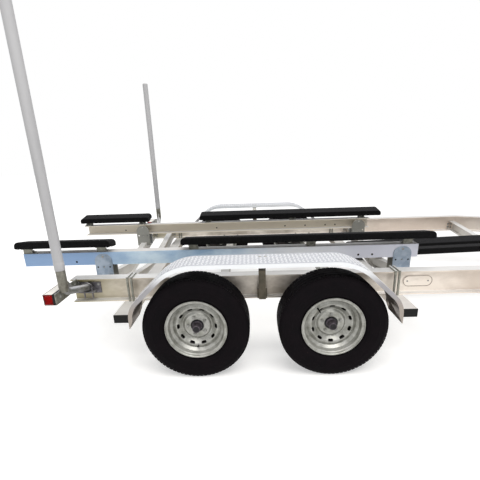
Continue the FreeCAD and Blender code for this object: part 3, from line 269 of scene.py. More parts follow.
def solidBoxes(name):   # the lowest and highest corner of each separate solid of a CAD node
    mesh = nodes[name].data
    spots = [tuple(round(c, 5) for c in point.co) for point in mesh.vertices]
    owner = {spot: spot for spot in spots}

    def root(spot):
        while owner[spot] != spot:
            owner[spot] = owner[owner[spot]]
            spot = owner[spot]
        return spot

    for face in mesh.polygons:
        first, *others = (spots[i] for i in face.vertices)
        for other in others:
            owner[root(other)] = root(first)
    groups = {}
    for spot in owner:
        groups.setdefault(root(spot), []).append(spot)
    boxes = [(Vector(map(min, zip(*group))), Vector(map(max, zip(*group)))) for group in groups.values()]
    return sorted(boxes, key=lambda pair: (round(pair[0].x, 3), round(pair[0].y, 3)))


def sidedBoxes(name):   # the same with the side of the trailer, the inner face and the outer face
    for low, high in solidBoxes(name):
        side = math.copysign(1, low.y)
        inner, outer = sorted((abs(low.y), abs(high.y)))
        yield low, high, side, side * inner, side * outer


def facing(point, direction, turn=0.0):   # a place whose own Z looks along the direction
    spin = Vector(direction).to_track_quat("Z", "X").to_matrix().to_4x4()
    return Matrix.Translation(point) @ spin @ Matrix.Rotation(math.radians(turn), 4, "Z")


def around(degrees):   # a direction in a wheel's own plane
    angle = math.radians(degrees)
    return Vector((math.cos(angle), 0, math.sin(angle)))


# helpers for materials


def setInputs(node, values):
    for label, value in values.items():
        node.inputs[label].default_value = value


def addNode(tree, kind, place, values=None, **settings):
    node = tree.nodes.new("ShaderNode" + kind)
    node.location = place
    for name, value in settings.items():
        setattr(node, name, value)
    setInputs(node, values or {})
    return node


def wireUp(tree, *wires):   # each wire: a node, its output, the next node, its input
    for start, output, end, entry in wires:
        tree.links.new(start.outputs[output], end.inputs[entry])


def newGroup(name, inputs, outputs):
    group = bpy.data.node_groups.new(name, "ShaderNodeTree")
    for way, sockets in (("INPUT", inputs), ("OUTPUT", outputs)):
        for label, kind in sockets.items():
            group.interface.new_socket(name=label, in_out=way, socket_type=kind)
    given, result = group.nodes.new("NodeGroupInput"), group.nodes.new("NodeGroupOutput")
    given.location, result.location = (-1100, 0), (900, 0)
    return group, given, result


def useGroup(tree, group, place, values):
    return addNode(tree, "Group", place, values, node_tree=group)


def shade(colour):   # a colour as it looks on screen, turned into the linear one that nodes use
    return tuple(c / 12.92 if c <= 0.04045 else ((c + 0.055) / 1.055) ** 2.4 for c in colour) + (1.0,)


number, colour, vector = "NodeSocketFloat", "NodeSocketColor", "NodeSocketVector"

# soft cloudy patches that shift a finish from one tone to another
mottle, given, result = newGroup(
    "mottle", {"Vector": vector, "Scale": number, "Dark": colour, "Light": colour, "Contrast": number,
               "Rough Low": number, "Rough High": number}, {"Color": colour, "Roughness": number})
cloud = addNode(mottle, "TexNoise", (-650, 100), {"Detail": 6, "Roughness": 0.6})
lowEnd = addNode(mottle, "Math", (-650, -150), {1: 0.3, 2: 0.2}, operation="MULTIPLY_ADD")
highEnd = addNode(mottle, "Math", (-650, -350), {1: -0.3, 2: 0.8}, operation="MULTIPLY_ADD")
spread = addNode(mottle, "MapRange", (-400, 100))
tone = addNode(mottle, "Mix", (0, 100), data_type="RGBA")
rough = addNode(mottle, "MapRange", (0, -200))
wireUp(mottle,
       (given, "Vector", cloud, "Vector"), (given, "Scale", cloud, "Scale"),
       (given, "Contrast", lowEnd, 0), (given, "Contrast", highEnd, 0),
       (cloud, "Fac", spread, "Value"), (lowEnd, 0, spread, "From Min"), (highEnd, 0, spread, "From Max"),
       (spread, "Result", tone, "Factor"), (given, "Dark", tone, "A"), (given, "Light", tone, "B"),
       (spread, "Result", rough, "Value"), (given, "Rough Low", rough, "To Min"),
       (given, "Rough High", rough, "To Max"),
       (tone, "Result", result, "Color"), (rough, "Result", result, "Roughness"))

# fine even grain for bump
grain, given, result = newGroup("grain", {"Vector": vector, "Scale": number, "Detail": number},
                                {"Height": number})
speck = addNode(grain, "TexNoise", (-400, 0))
wireUp(grain, (given, "Vector", speck, "Vector"), (given, "Scale", speck, "Scale"),
       (given, "Detail", speck, "Detail"), (speck, "Fac", result, "Height"))

# painted light: faces that look up get a painted highlight, faces that look down get painted shade
bleach, given, result = newGroup(
    "bleach", {"Normal": vector, "Color": colour, "Top": colour, "Top Amount": number, "Under": colour,
               "Under Amount": number}, {"Color": colour})
split = addNode(bleach, "SeparateXYZ", (-850, 0))
paintedHighlightMask = addNode(bleach, "MapRange", (-650, 100), {"From Min": 0.35, "From Max": 0.95},
                 interpolation_type="SMOOTHSTEP")
paintedShadeMask = addNode(bleach, "MapRange", (-650, -200), {"From Min": -0.2, "From Max": -0.9},
                   interpolation_type="SMOOTHSTEP")
paintedHighlightShare = addNode(bleach, "Math", (-400, 100), operation="MULTIPLY")
paintedShadeShare = addNode(bleach, "Math", (-400, -200), operation="MULTIPLY")
paintedHighlightMix = addNode(bleach, "Mix", (-150, 100), data_type="RGBA")
paintedShadeMix = addNode(bleach, "Mix", (150, 100), data_type="RGBA")
wireUp(bleach,
       (given, "Normal", split, 0), (split, "Z", paintedHighlightMask, "Value"), (split, "Z", paintedShadeMask, "Value"),
       (paintedHighlightMask, "Result", paintedHighlightShare, 0), (given, "Top Amount", paintedHighlightShare, 1),
       (paintedShadeMask, "Result", paintedShadeShare, 0), (given, "Under Amount", paintedShadeShare, 1),
       (paintedHighlightShare, 0, paintedHighlightMix, "Factor"), (given, "Color", paintedHighlightMix, "A"), (given, "Top", paintedHighlightMix, "B"),
       (paintedShadeShare, 0, paintedShadeMix, "Factor"), (paintedHighlightMix, "Result", paintedShadeMix, "A"),
       (given, "Under", paintedShadeMix, "B"), (paintedShadeMix, "Result", result, "Color"))

# the crystal flowers of a zinc coat
spangle, given, result = newGroup(
    "spangle", {"Vector": vector, "Scale": number, "Color": colour, "Strength": number}, {"Color": colour})
flower = addNode(spangle, "TexVoronoi", (-650, 0), {"Randomness": 1.0}, feature="F1")
redShare = addNode(spangle, "SeparateColor", (-450, 0))
amount = addNode(spangle, "Math", (-100, -150), operation="MULTIPLY")
darker = addNode(spangle, "Mix", (100, 100), {"B": (0.35, 0.35, 0.36, 1)}, data_type="RGBA",
                 blend_type="MULTIPLY")
wireUp(spangle,
       (given, "Vector", flower, "Vector"), (given, "Scale", flower, "Scale"),
       (flower, "Color", redShare, 0), (redShare, 0, amount, 0), (given, "Strength", amount, 1),
       (amount, 0, darker, "Factor"), (given, "Color", darker, "A"), (darker, "Result", result, "Color"))

# a finish that takes on another tint between two places
passage, given, result = newGroup(
    "passage", {"Color": colour, "Place": number, "Start": number, "End": number, "Tint": colour,
                "Share": number}, {"Color": colour})
along = addNode(passage, "MapRange", (-500, 0), interpolation_type="SMOOTHSTEP")
portion = addNode(passage, "Math", (-300, -100), operation="MULTIPLY")
between = addNode(passage, "Mix", (-100, 0), data_type="RGBA")
wireUp(passage,
       (given, "Place", along, "Value"), (given, "Start", along, "From Min"),
       (given, "End", along, "From Max"), (along, "Result", portion, 0), (given, "Share", portion, 1),
       (portion, 0, between, "Factor"), (given, "Color", between, "A"), (given, "Tint", between, "B"),
       (between, "Result", result, "Color"))


def newMaterial(name, values):
    material = bpy.data.materials.new(name)
    material.use_nodes = True
    shader = material.node_tree.nodes["Principled BSDF"]
    setInputs(shader, values)
    return material, material.node_tree, shader


def newFinish(name, look):   # cloudy base, tints by place, zinc flowers, painted highlights on tops and painted shade underneath, fine grain
    material, tree, shader = newMaterial(name, {
        "Metallic": look["metallic"], "Specular IOR Level": look["specular"], "Coat Weight": look["coat"],
        "Coat Roughness": 0.08, "Sheen Weight": look["sheen"], "Sheen Roughness": 0.6})
    place = addNode(tree, "TexCoord", (-2100, 0))
    turned = addNode(tree, "Mapping", (-1850, 0), {"Scale": look["stretch"]})
    patches = useGroup(tree, mottle, (-1450, 150), {
        "Scale": look["patches"], "Dark": shade(look["dark"]), "Light": shade(look["light"]),
        "Contrast": look["contrast"], "Rough Low": look["rough"][0], "Rough High": look["rough"][1]})
    axes = addNode(tree, "SeparateXYZ", (-1850, 400))
    offCentre = addNode(tree, "Math", (-1650, 400), operation="ABSOLUTE")
    surface = addNode(tree, "NewGeometry", (-1850, 700))
    surfaceAxes = addNode(tree, "SeparateXYZ", (-1650, 700))
    sideways = addNode(tree, "Math", (-1450, 700), operation="ABSOLUTE")
    wireUp(tree, (place, "Object", turned, "Vector"), (turned, "Vector", patches, "Vector"),
           (place, "Object", axes, 0), (axes, "Y", offCentre, 0),
           (surface, "Normal", surfaceAxes, 0), (surfaceAxes, "Y", sideways, 0))
    sources = {"X": (axes, "X"), "Z": (axes, "Z"), "offCentre": (offCentre, 0), "sideways": (sideways, 0)}
    last = patches
    for index, (source, start, end, tint, share) in enumerate(look["passages"]):
        shift = useGroup(tree, passage, (-1250 + 150 * index, 450),
                         {"Start": start, "End": end, "Tint": shade(tint), "Share": share})
        wireUp(tree, (*sources[source], shift, "Place"), (last, "Color", shift, "Color"))
        last = shift
    if look["zinc"]:
        strength, scale = look["zinc"]
        zinc = useGroup(tree, spangle, (-650, 250), {"Scale": scale, "Strength": strength})
        wireUp(tree, (place, "Object", zinc, "Vector"), (last, "Color", zinc, "Color"))
        last = zinc
    # painted highlight on faces that look up and painted shade on faces that look down
    paintedLightStep = useGroup(tree, bleach, (-400, 250), {
        "Top": shade(look["top"]), "Top Amount": look["topAmount"],
        "Under": shade(look["under"]), "Under Amount": look["underAmount"]})
    fine = useGroup(tree, grain, (-900, -350), {"Scale": look["grain"], "Detail": 3.0})
    bump = addNode(tree, "Bump", (-250, -400), {"Strength": look["bump"], "Distance": look["depth"]})
    wireUp(tree, (surface, "Normal", paintedLightStep, "Normal"), (last, "Color", paintedLightStep, "Color"),
           (paintedLightStep, "Color", shader, "Base Color"), (patches, "Roughness", shader, "Roughness"),
           (turned, "Vector", fine, "Vector"), (fine, "Height", bump, "Height"),
           (bump, "Normal", shader, "Normal"))
    return material


# rough: lowest and highest; zinc: strength and scale; a passage: source, start, end, tint, share; top and under:
# colours of the painted highlight and the painted shade
def lookOf(dark, light, **changes):
    return {"dark": dark, "light": light, "metallic": 0.0, "specular": 0.5, "coat": 0.0, "sheen": 0.0,
            "stretch": (1, 1, 1), "patches": 30.0, "contrast": 0.6, "rough": (0.32, 0.5), "grain": 260.0,
            "bump": 0.25, "depth": 0.0006, "passages": [], "zinc": None, "top": (0.93, 0.93, 0.92),
            "topAmount": 0.0, "under": (0.3, 0.3, 0.3), "underAmount": 0.0, **changes}


# in every look the top colour and its amount paint a highlight on faces that look up, and the under colour and its
# amount paint shade on faces that look down
looks = {
    # rails: the light base is painted light against the shade of the fenders and wheels, and the tints along X are
    # painted reflections, khaki at the rear and paler forward
    "millAluminium": lookOf(
        (0.74, 0.70, 0.65), (0.98, 0.95, 0.91), stretch=(0.30, 1, 0.5), patches=5.5, contrast=0.75,
        metallic=0.50, top=(0.88, 0.88, 0.88), topAmount=0.9, underAmount=0.3, rough=(0.38, 0.54),
        grain=300.0, bump=0.18,
        passages=[("X", -2.5, -3.2, (0.58, 0.55, 0.42), 0.9), ("X", -1.2, 0.2, (0.88, 0.82, 0.77), 0.8),
                  ("X", 0.5, 1.4, (0.84, 0.83, 0.81), 0.85)]),
    # bunk beams: the blue base is painted sky light; along X a deeper blue at the rear is painted sky reflection
    # and near white in the middle is painted light against the fenders' shade; faces nearer the middle than the
    # outer web turn beige as painted shade
    "brightAluminium": lookOf(
        (0.62, 0.75, 0.88), (0.86, 0.94, 1.0), metallic=0.20, stretch=(0.35, 1, 0.6), patches=5.0,
        contrast=0.7, top=(0.80, 0.81, 0.84), topAmount=0.6, rough=(0.42, 0.56),
        passages=[("X", -2.8, -3.2, (0.54, 0.66, 0.82), 0.9), ("X", -2.2, -1.5, (0.97, 0.98, 1.0), 0.9),
                  ("X", -1.4, -0.9, (0.82, 0.83, 0.89), 0.8),
                  ("offCentre", 0.5935, 0.5895, (0.86, 0.83, 0.77), 1.0)]),
    # fenders: faces that look sideways are painted near white as a painted highlight, the plate darkens from 0.78
    # down to 0.66 as painted shade on the sloping ends, and turns lighter and pinker below 0.62
    "treadPlate": lookOf(
        (0.56, 0.57, 0.60), (0.68, 0.69, 0.72), patches=5.0, metallic=0.45, rough=(0.32, 0.46),
        top=(0.80, 0.81, 0.84), topAmount=0.6, under=(0.34, 0.31, 0.28), underAmount=0.6,
        passages=[("sideways", 0.5, 0.95, (0.96, 0.97, 0.98), 0.9),
                  ("Z", 0.78, 0.66, (0.46, 0.44, 0.46), 0.75),
                  ("Z", 0.62, 0.50, (0.64, 0.60, 0.56), 0.85)]),
    "galvanisedRim": lookOf(
        (0.57, 0.57, 0.54), (0.71, 0.71, 0.69), patches=20.0, metallic=0.60, zinc=(0.30, 150.0),
        rough=(0.30, 0.45), topAmount=0.35, underAmount=0.35),
    "galvanisedSteel": lookOf(
        (0.46, 0.46, 0.43), (0.62, 0.62, 0.58), patches=25.0, metallic=0.5, zinc=(0.35, 80.0),
        top=(0.90, 0.90, 0.90), topAmount=0.7, rough=(0.36, 0.52), underAmount=0.4),
    "zincSteel": lookOf(
        (0.50, 0.50, 0.48), (0.64, 0.64, 0.63), patches=40.0, metallic=0.8, topAmount=0.3,
        rough=(0.40, 0.55)),
    "tyreRubber": lookOf(
        (0.050, 0.040, 0.052), (0.085, 0.070, 0.082), patches=12.0, specular=0.06, rough=(0.65, 0.85),
        grain=900.0, bump=0.15),
    "blackHub": lookOf(
        (0.05, 0.045, 0.055), (0.11, 0.10, 0.12), patches=60.0, specular=0.3, rough=(0.35, 0.5)),
    # carpet: the lighter top colour is painted sheen on the bunks' tops
    "bunkCarpet": lookOf(
        (0.030, 0.030, 0.034), (0.075, 0.075, 0.082), patches=90.0, specular=0.03, sheen=0.05,
        rough=(0.9, 1.0), grain=750.0, bump=0.9, depth=0.003, top=(0.17, 0.17, 0.18), topAmount=0.6),
    "blackPlastic": lookOf(
        (0.03, 0.03, 0.03), (0.06, 0.06, 0.06), specular=0.2, rough=(0.4, 0.55)),
    "stopRubber": lookOf(
        (0.10, 0.10, 0.10), (0.15, 0.15, 0.15), specular=0.25, rough=(0.6, 0.75)),
    # lamp lenses: their tops are painted near white as a painted highlight
    "redLens": lookOf(
        (0.42, 0.02, 0.02), (0.62, 0.03, 0.03), patches=35.0, specular=0.06, coat=0.02, rough=(0.25, 0.35),
        bump=0.05, top=(0.97, 0.96, 0.94), topAmount=1.0),
    "whitePlastic": lookOf(
        (0.70, 0.70, 0.71), (0.76, 0.76, 0.77), patches=8.0, stretch=(1, 1, 0.15), specular=0.4,
        rough=(0.3, 0.42), bump=0.05),
    "socketSteel": lookOf(
        (0.42, 0.41, 0.37), (0.56, 0.55, 0.51), patches=22.0, metallic=0.5, zinc=(0.3, 90.0), topAmount=0.6,
        underAmount=0.4),
    # fender struts: steel drawn darker than the other steel as painted shade
    "dullSteel": lookOf(
        (0.28, 0.26, 0.22), (0.40, 0.37, 0.32), patches=14.0, metallic=0.7, topAmount=0.5, underAmount=0.4),
    "plateSteel": lookOf(
        (0.34, 0.33, 0.35), (0.48, 0.47, 0.49), patches=25.0, metallic=0.7, zinc=(0.35, 90.0),
        topAmount=0.6, underAmount=0.5),
    # guide post arms: the bright top is a painted highlight
    "armSteel": lookOf(
        (0.48, 0.48, 0.47), (0.62, 0.62, 0.62), patches=25.0, metallic=0.5, zinc=(0.25, 90.0),
        top=(0.92, 0.92, 0.93), topAmount=0.8, underAmount=0.4),
    "capSteel": lookOf(
        (0.24, 0.22, 0.24), (0.36, 0.33, 0.36), patches=50.0, metallic=0.5, rough=(0.3, 0.45)),
    # lamp borders: their tops are painted near white as a painted highlight
    "lensBorder": lookOf(
        (0.20, 0.03, 0.03), (0.30, 0.04, 0.05), patches=35.0, specular=0.15, rough=(0.4, 0.5),
        top=(0.97, 0.96, 0.94), topAmount=1.0),
    # brake drums: very dark, partly iron and partly painted shade behind the rim openings
    "drumIron": lookOf(
        (0.10, 0.09, 0.09), (0.19, 0.17, 0.16), metallic=0.4, rough=(0.5, 0.7)),
    "dullPlate": lookOf(
        (0.58, 0.53, 0.49), (0.70, 0.65, 0.61), patches=60.0, metallic=0.6),
    # cross members: tops painted near white as a painted highlight, sides left mid-grey
    "crossBars": lookOf(
        (0.76, 0.75, 0.73), (0.90, 0.89, 0.87), stretch=(1, 0.30, 0.5), patches=6.0, metallic=0.45,
        top=(0.90, 0.90, 0.90), topAmount=0.9, underAmount=0.3, rough=(0.38, 0.54), grain=300.0, bump=0.18),
    # bunk uprights: the blue base is painted sky light, and faces nearer the middle than the outer face turn grey
    # as painted shade
    "uprightPlate": lookOf(
        (0.52, 0.58, 0.65), (0.66, 0.71, 0.77), patches=14.0, metallic=0.35, topAmount=0.7,
        rough=(0.40, 0.55),
        passages=[("offCentre", 0.599, 0.592, (0.52, 0.52, 0.50), 1.0)]),
    # tread bars: near white as a painted highlight on the raised bars, darker low on the sloping ends as painted
    # shade
    "treadBars": lookOf(
        (0.94, 0.95, 0.96), (0.98, 0.98, 0.99), metallic=0.3, rough=(0.30, 0.40),
        passages=[("Z", 0.78, 0.66, (0.84, 0.83, 0.83), 0.8)]),
}
finishes = {name: newFinish(name, look) for name, look in looks.items()}
ownFinish = {"fender_brackets": "dullSteel", "post_clamps": "plateSteel", "bunk_uprights": "uprightPlate",
             "post_arms": "armSteel", "cross_members": "crossBars", "side_plates": "millAluminium"}
slotOf = {part["node"]: part["material_slot"] for part in frame["record"]["subparts"]}
for name, node in nodes.items():
    node.data.materials.clear()
    node.data.materials.append(finishes[ownFinish.get(name) or camelName(slotOf[name])])
print("finishes on", len(nodes), "nodes")

# tyres: one pitch of the tread is shaped and repeated round the wheel

tyreShape = {"pitches": 80, "blockShare": 0.86, "blockHeight": 0.0062, "crown": 0.3530, "edge": 0.3505,
             "edgeSlack": 0.003, "centreHalf": 0.052, "seam": 0.001, "merge": 0.0002,
             "wall": [(0.0700, 0.1915), (0.0752, 0.1960), (0.0756, 0.2110), (0.0800, 0.2165),
                      (0.0815, 0.2200), (0.0850, 0.2205), (0.0935, 0.2290), (0.0990, 0.2390),
                      (0.1000, 0.2400), (0.1000, 0.2420), (0.1060, 0.2560), (0.1098, 0.2740),
                      (0.1106, 0.2880), (0.1112, 0.2890), (0.1112, 0.2930), (0.1104, 0.2940),
                      (0.1082, 0.3090), (0.1050, 0.3200), (0.1052, 0.3230), (0.1022, 0.3320),
                      (0.0990, 0.3390), (0.0940, 0.3440)],
             "ribs": [(0.0870, 0.0560), (0.0510, 0.0220), (0.0175, -0.0175), (-0.0220, -0.0510),
                      (-0.0560, -0.0870)]}


def makeTyre(look):
    half = look["ribs"][0][0]
    treadLine = [(side, look["crown"] - (look["crown"] - look["edge"]) * (side / half) ** 2)
                 for rib in look["ribs"] for side in rib]
    outline = look["wall"] + treadLine + [(-side, out) for side, out in reversed(look["wall"])]
    tyre = drawOutline("tyreMaster", outline + outline[:1])
    turn = 2 * math.pi / look["pitches"]
    for share in (look["blockShare"], 1 - look["blockShare"]):
        bpy.ops.mesh.spin(steps=1, angle=turn * share, center=(0, 0, 0), axis=(0, 1, 0))
    backToObject()
    mergeDoubles(tyre)

    def onBlock(centre, normal):   # centre ribs run on, shoulder blocks have gaps between them
        if math.hypot(centre.x, centre.z) < look["edge"] - look["edgeSlack"]:
            return False
        if not any(inner < centre.y < outer for outer, inner in look["ribs"]):
            return False
        angle = abs(math.atan2(centre.x, centre.z))
        return abs(centre.y) < look["centreHalf"] or angle < turn * look["blockShare"]

    def onJoint(centre, normal):   # the ribs' end faces, where one pitch meets the next
        angle = abs(math.atan2(centre.x, centre.z)) / turn
        return abs(centre.y) < look["centreHalf"] and not look["seam"] <= angle <= 1 - look["seam"]

    editFaces(tyre, onBlock)
    bpy.ops.mesh.extrude_region_shrink_fatten(TRANSFORM_OT_shrink_fatten={"value": look["blockHeight"]})
    backToObject()
    editFaces(tyre, onJoint)
    bpy.ops.mesh.delete(type="FACE")
    backToObject()
    clearSelection()
    bpy.ops.object.empty_add(location=(0, 0, 0))
    turner = bpy.context.object
    turner.rotation_euler = (0, turn, 0)
    useModifier(tyre, "ARRAY", count=look["pitches"], use_relative_offset=False, use_object_offset=True,
                offset_object=turner, use_merge_vertices=True, use_merge_vertices_cap=True,
                merge_threshold=look["merge"])
    discard(turner)
    mergeDoubles(tyre, look["merge"])
    return tyre


for corner, tyre in onWheels(makeTyre(tyreShape), "tyre", "tyre_rubber", 28).items():
    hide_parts("tyre_" + corner)
print("tyres")

# fasteners

nutShape = {"washerRadius": 1.05, "washerHeight": 0.16, "radius": 0.577, "height": 0.52, "bevel": 0.07,
            "studRadius": 0.31, "studInset": 0.06, "studTip": 0.04, "domeHeight": 0.42}   # shares of the size


def makeNut(size, stud=0.35, washer=True, look=nutShape):   # on z = 0, its stud pointing up
    base = size * look["washerHeight"] if washer else 0.0
    top = base + size * look["height"]
    nut = addRod("nut", size * look["radius"], (0, 0, base), (0, 0, top), 6)
    bevel = size * look["bevel"]
    bevelEdges(nut, lambda a, b: min(a.z, b.z) > top - bevel, bevel, 2)
    post = addRod("stud", size * look["studRadius"], (0, 0, base), (0, 0, top + size * stud), 14)
    sinkFaces(post, lookingUp, size * look["studInset"], size * look["studTip"])
    parts = [nut, post]
    if washer:
        parts.insert(0, addRod("washer", size * look["washerRadius"], (0, 0, 0), (0, 0, base), 20))
    return joinPieces(parts, "nutMaster")


def makeHead(size):   # a carriage bolt's head on z = 0
    return makeDome("headMaster", (size, size, size * nutShape["domeHeight"]), 16, 8, True)


# lug nuts and valve stems

lugs = {"count": 5, "pitchRadius": 0.0635, "size": 0.0205, "face": 0.0225, "stud": 0.25, "twist": 11,
        "start": {"front": 18, "rear": 36}}
valve = {"radius": 0.0052, "out": 0.1500, "root": 0.036, "length": 0.040, "lean": 24.0, "neck": 0.55,
         "rootShare": 1.3, "neckShare": 0.9, "capShare": 0.8, "angle": {"front": 130, "rear": 270}}
for body, centre in wheelCentres.items():
    corner = body.removeprefix("wheel_")
    axle = corner.split("_")[0]
    outward = Vector((0, math.copysign(1, centre.y), 0))
    places = []
    for index in range(lugs["count"]):
        reach = around(360 / lugs["count"] * index + lugs["start"][axle]) * lugs["pitchRadius"]
        places.append(facing(centre + outward * lugs["face"] + reach, outward, lugs["twist"] * index))
    nuts = copiesOf(makeNut(lugs["size"], lugs["stud"], False), "lugNuts." + corner, places)
    finishPiece(nuts, "zinc_steel", body=body)
    arm = around(valve["angle"][axle])
    lean = math.radians(valve["lean"])
    root = centre + outward * valve["root"] + arm * valve["out"]
    tip = root + (outward * math.cos(lean) - arm * math.sin(lean)) * valve["length"]
    neck = root.lerp(tip, valve["neck"])
    wide, narrow, cap = (valve["radius"] * valve[k] for k in ("rootShare", "neckShare", "capShare"))
    stem = [addRod("stem", wide, root, neck, 14, narrow), addRod("cap", cap, neck, tip, 14)]
    finishPiece(joinPieces(stem, "valveStem." + corner), "black_plastic", body=body)
print("lug nuts and valve stems")

# raised bars of the tread plate

treadBars = {"pitch": 0.0262, "rows": 7, "length": 0.0115, "width": 0.0031, "height": 0.0021, "turn": 42.0,
             "edge": 0.014, "cornerHeight": 0.537, "shoulder": 0.581, "lowRadius": 0.175,
             "highRadius": 0.350, "arcSteps": 24}


def fenderLine(low, high, look):   # points and slopes along the fender's outer line, front to rear
    middle = (low.x + high.x) / 2
    half = (high.x - low.x) / 2
    shoulder, bend = look["shoulder"], look["cornerHeight"]
    corners = [Vector(pair) for pair in ((half, low.z), (half, bend), (shoulder, high.z),
                                         (-shoulder, high.z), (-half, bend), (-half, low.z))]
    radii = (look["lowRadius"], look["highRadius"], look["highRadius"], look["lowRadius"])
    line = [corners[0]]
    for before, corner, after, radius in zip(corners, corners[1:], corners[2:], radii):
        back, on = (before - corner).normalized(), (after - corner).normalized()
        halfAngle = back.angle(on) / 2
        reach = radius / math.tan(halfAngle)
        hub = corner + (back + on).normalized() * (radius / math.sin(halfAngle))
        start, end = corner + back * reach - hub, corner + on * reach - hub
        begin = math.atan2(start.y, start.x)
        sweep = (math.atan2(end.y, end.x) - begin + math.pi) % (2 * math.pi) - math.pi
        for step in range(look["arcSteps"] + 1):
            turn = begin + sweep * step / look["arcSteps"]
            line.append(hub + radius * Vector((math.cos(turn), math.sin(turn))))
    line.append(corners[-1])
    spots, wait = [], look["pitch"]
    for start, end in zip(line, line[1:]):
        run = (end - start).length
        while wait <= run:
            here = start.lerp(end, wait / run)
            slope = (start - end).normalized()
            spots.append((Vector((middle + here.x, 0, here.y)), Vector((slope.x, 0, slope.y))))
            wait += look["pitch"]
        wait -= run
    return spots


def makeBarRow(look, width, flip):   # one row across the fender, the bars leaning by turns
    bar = makeDome("bar", (look["length"], look["width"], look["height"]), 8, 4, False)
    gap = (width - 2 * look["edge"]) / look["rows"]
    places = []
    for index in range(look["rows"]):
        side = -width / 2 + look["edge"] + gap * (index + 0.5)
        turn = look["turn"] if (index + flip) % 2 else -look["turn"]
        places.append(Matrix.Translation((0, side, 0)) @ Matrix.Rotation(math.radians(turn), 4, "Z"))
    return copiesOf(bar, "barRow", places)


for side in ("left", "right"):
    low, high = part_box("fender_" + side)
    width = high.y - low.y
    rows = [makeBarRow(treadBars, width, flip) for flip in (0, 1)]
    copies = []
    across = Vector((0, 1, 0))
    for index, (spot, slope) in enumerate(fenderLine(low, high, treadBars)):
        place = Matrix((slope, across, slope.cross(across))).transposed().to_4x4()
        place.translation = (spot.x, (low.y + high.y) / 2, spot.z)
        copies.append(copyAt(rows[index % 2], place))
    for row in rows:
        discard(row)
    finishPiece(joinPieces(copies, "treadBars." + side), "tread_plate", 60, "treadBars")
print("tread plate bars")

# carpeted bunks

bunkLook = {"thickness": 0.0594, "endRound": 0.034, "edgeRound": 0.011, "underInset": 0.026,
            "underRise": 0.0025, "ripple": 0.0016, "rippleSize": 0.05, "cuts": 70, "crossCuts": 5,
            "endGap": 0.0006}
raisedBunk = {"width": 0.1494, "tilt": 10.0, "rise": 0.0}
bunkKinds = {"rear_bunks": raisedBunk, "side_bunks": raisedBunk,
             "keel_bunks": {"width": 0.1554, "tilt": math.degrees(math.atan2(0.128, 0.898)), "rise": 1.4}}
ripples = bpy.data.textures.new("carpetRipples", "CLOUDS")
ripples.noise_scale = bunkLook["rippleSize"]


def makeBoard(length, width, look):
    corner = Vector((length, width, look["thickness"])) / 2
    board = addBlock("board", -corner, corner)
    bevelEdges(board, lambda a, b: a.z > 0 and b.z > 0 and abs(a.x - b.x) < 0.01, look["endRound"], 7)
    roundEdges(board, look["edgeRound"], 4)
    sinkFaces(board, lambda centre, normal: normal.z < -0.95, look["underInset"], look["underRise"])
    editEdges(board, lambda a, b: abs(a.x - b.x) > length * 0.5)
    bpy.ops.mesh.subdivide(number_cuts=look["cuts"])
    backToObject()
    editEdges(board, lambda a, b: abs(a.y - b.y) > width * 0.4)
    bpy.ops.mesh.subdivide(number_cuts=look["crossCuts"])
    backToObject()
    useModifier(board, "DISPLACE", texture=ripples, strength=-look["ripple"], mid_level=0.0,
                texture_coords="LOCAL")
    return board


for node, kind in bunkKinds.items():
    boards = []
    for low, high in solidBoxes(node):
        middle = (low + high) / 2
        rise = math.radians(kind["rise"])
        tilt = math.radians(kind["tilt"]) * math.copysign(1, middle.y)
        length = (high.x - low.x) / math.cos(rise) - bunkLook["endGap"]
        board = makeBoard(length, kind["width"], bunkLook)
        turn = Matrix.Rotation(-rise, 4, "Y") @ Matrix.Rotation(tilt, 4, "X")
        boards.append(copyAt(board, Matrix.Translation(middle) @ turn))
        discard(board)
    carpet = joinPieces(boards, camelName(node))
    finishPiece(carpet, "bunk_carpet", 50)
    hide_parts(node)
print("carpeted bunks")

# nuts and bolts on the frame

boltLook = {"nut": 0.019, "pin": 0.013, "head": 0.0105, "legRadius": 0.006, "legTurn": 20,
            "outerPlates": 0.55, "uprightHeight": 0.690, "clampEdge": 0.018, "clampStep": 0.005,
            "clampHeight": 0.586, "lampAcross": (0.968, 1.020, 1.130, 1.215), "lampHeight": 0.612,
            "clipForward": (-3.085, -2.849, -0.631, 0.663), "clipSheet": 0.003, "clipSlack": 0.002,
            "clipShift": 0.018, "clipFace": 0.006, "clipReach": 0.030, "clipIn": 0.022,
            "bracketShift": 0.024, "bracketIn": 0.022, "bracketHeight": 0.732}
padRow = (-1.2765, -1.1065, -2.1815, -2.0115)
boltRows = (   # kind, stations, distance from the middle, height, the way it faces, turn
    ("pin", padRow, 0.914, 0.472, "up", 15),   # through the rails' lower flanges into the axle pads
    ("pin", padRow, 0.972, 0.472, "up", 15),
    ("head", (-1.805, -1.769), 1.131, 0.822, "up", 0),   # over the struts
    ("nut", (2.751, 2.795), 0.044, 0.98, "side", 0),   # the bow stop's arms on the winch post
    ("nut", (2.678, 2.868), 0.044, 0.471, "up", 10),   # the winch post's foot
    ("nut", (3.372, 3.443, 3.514), 0.0695, 0.430, "side", 7),   # the coupler's saddle
)
jackBolts = {"stations": (3.107, 3.219), "across": 0.0735, "heights": (0.352, 0.447)}
places = {"nut": [], "pin": [], "head": []}
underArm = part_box("fender_arms")[0].z
for low, high in solidBoxes("rail_u_bolts"):   # the threaded ends pass through the fender arm
    for across in (low.y + boltLook["legRadius"], high.y - boltLook["legRadius"]):
        spot = ((low.x + high.x) / 2, across, underArm)
        places["nut"].append(facing(spot, (0, 0, -1), boltLook["legTurn"]))
for low, high, side, inner, outer in sidedBoxes("bunk_uprights"):
    face, way = (outer, side) if abs(outer) > boltLook["outerPlates"] else (inner, -side)
    places["head"].append(facing(((low.x + high.x) / 2, face, boltLook["uprightHeight"]), (0, way, 0)))
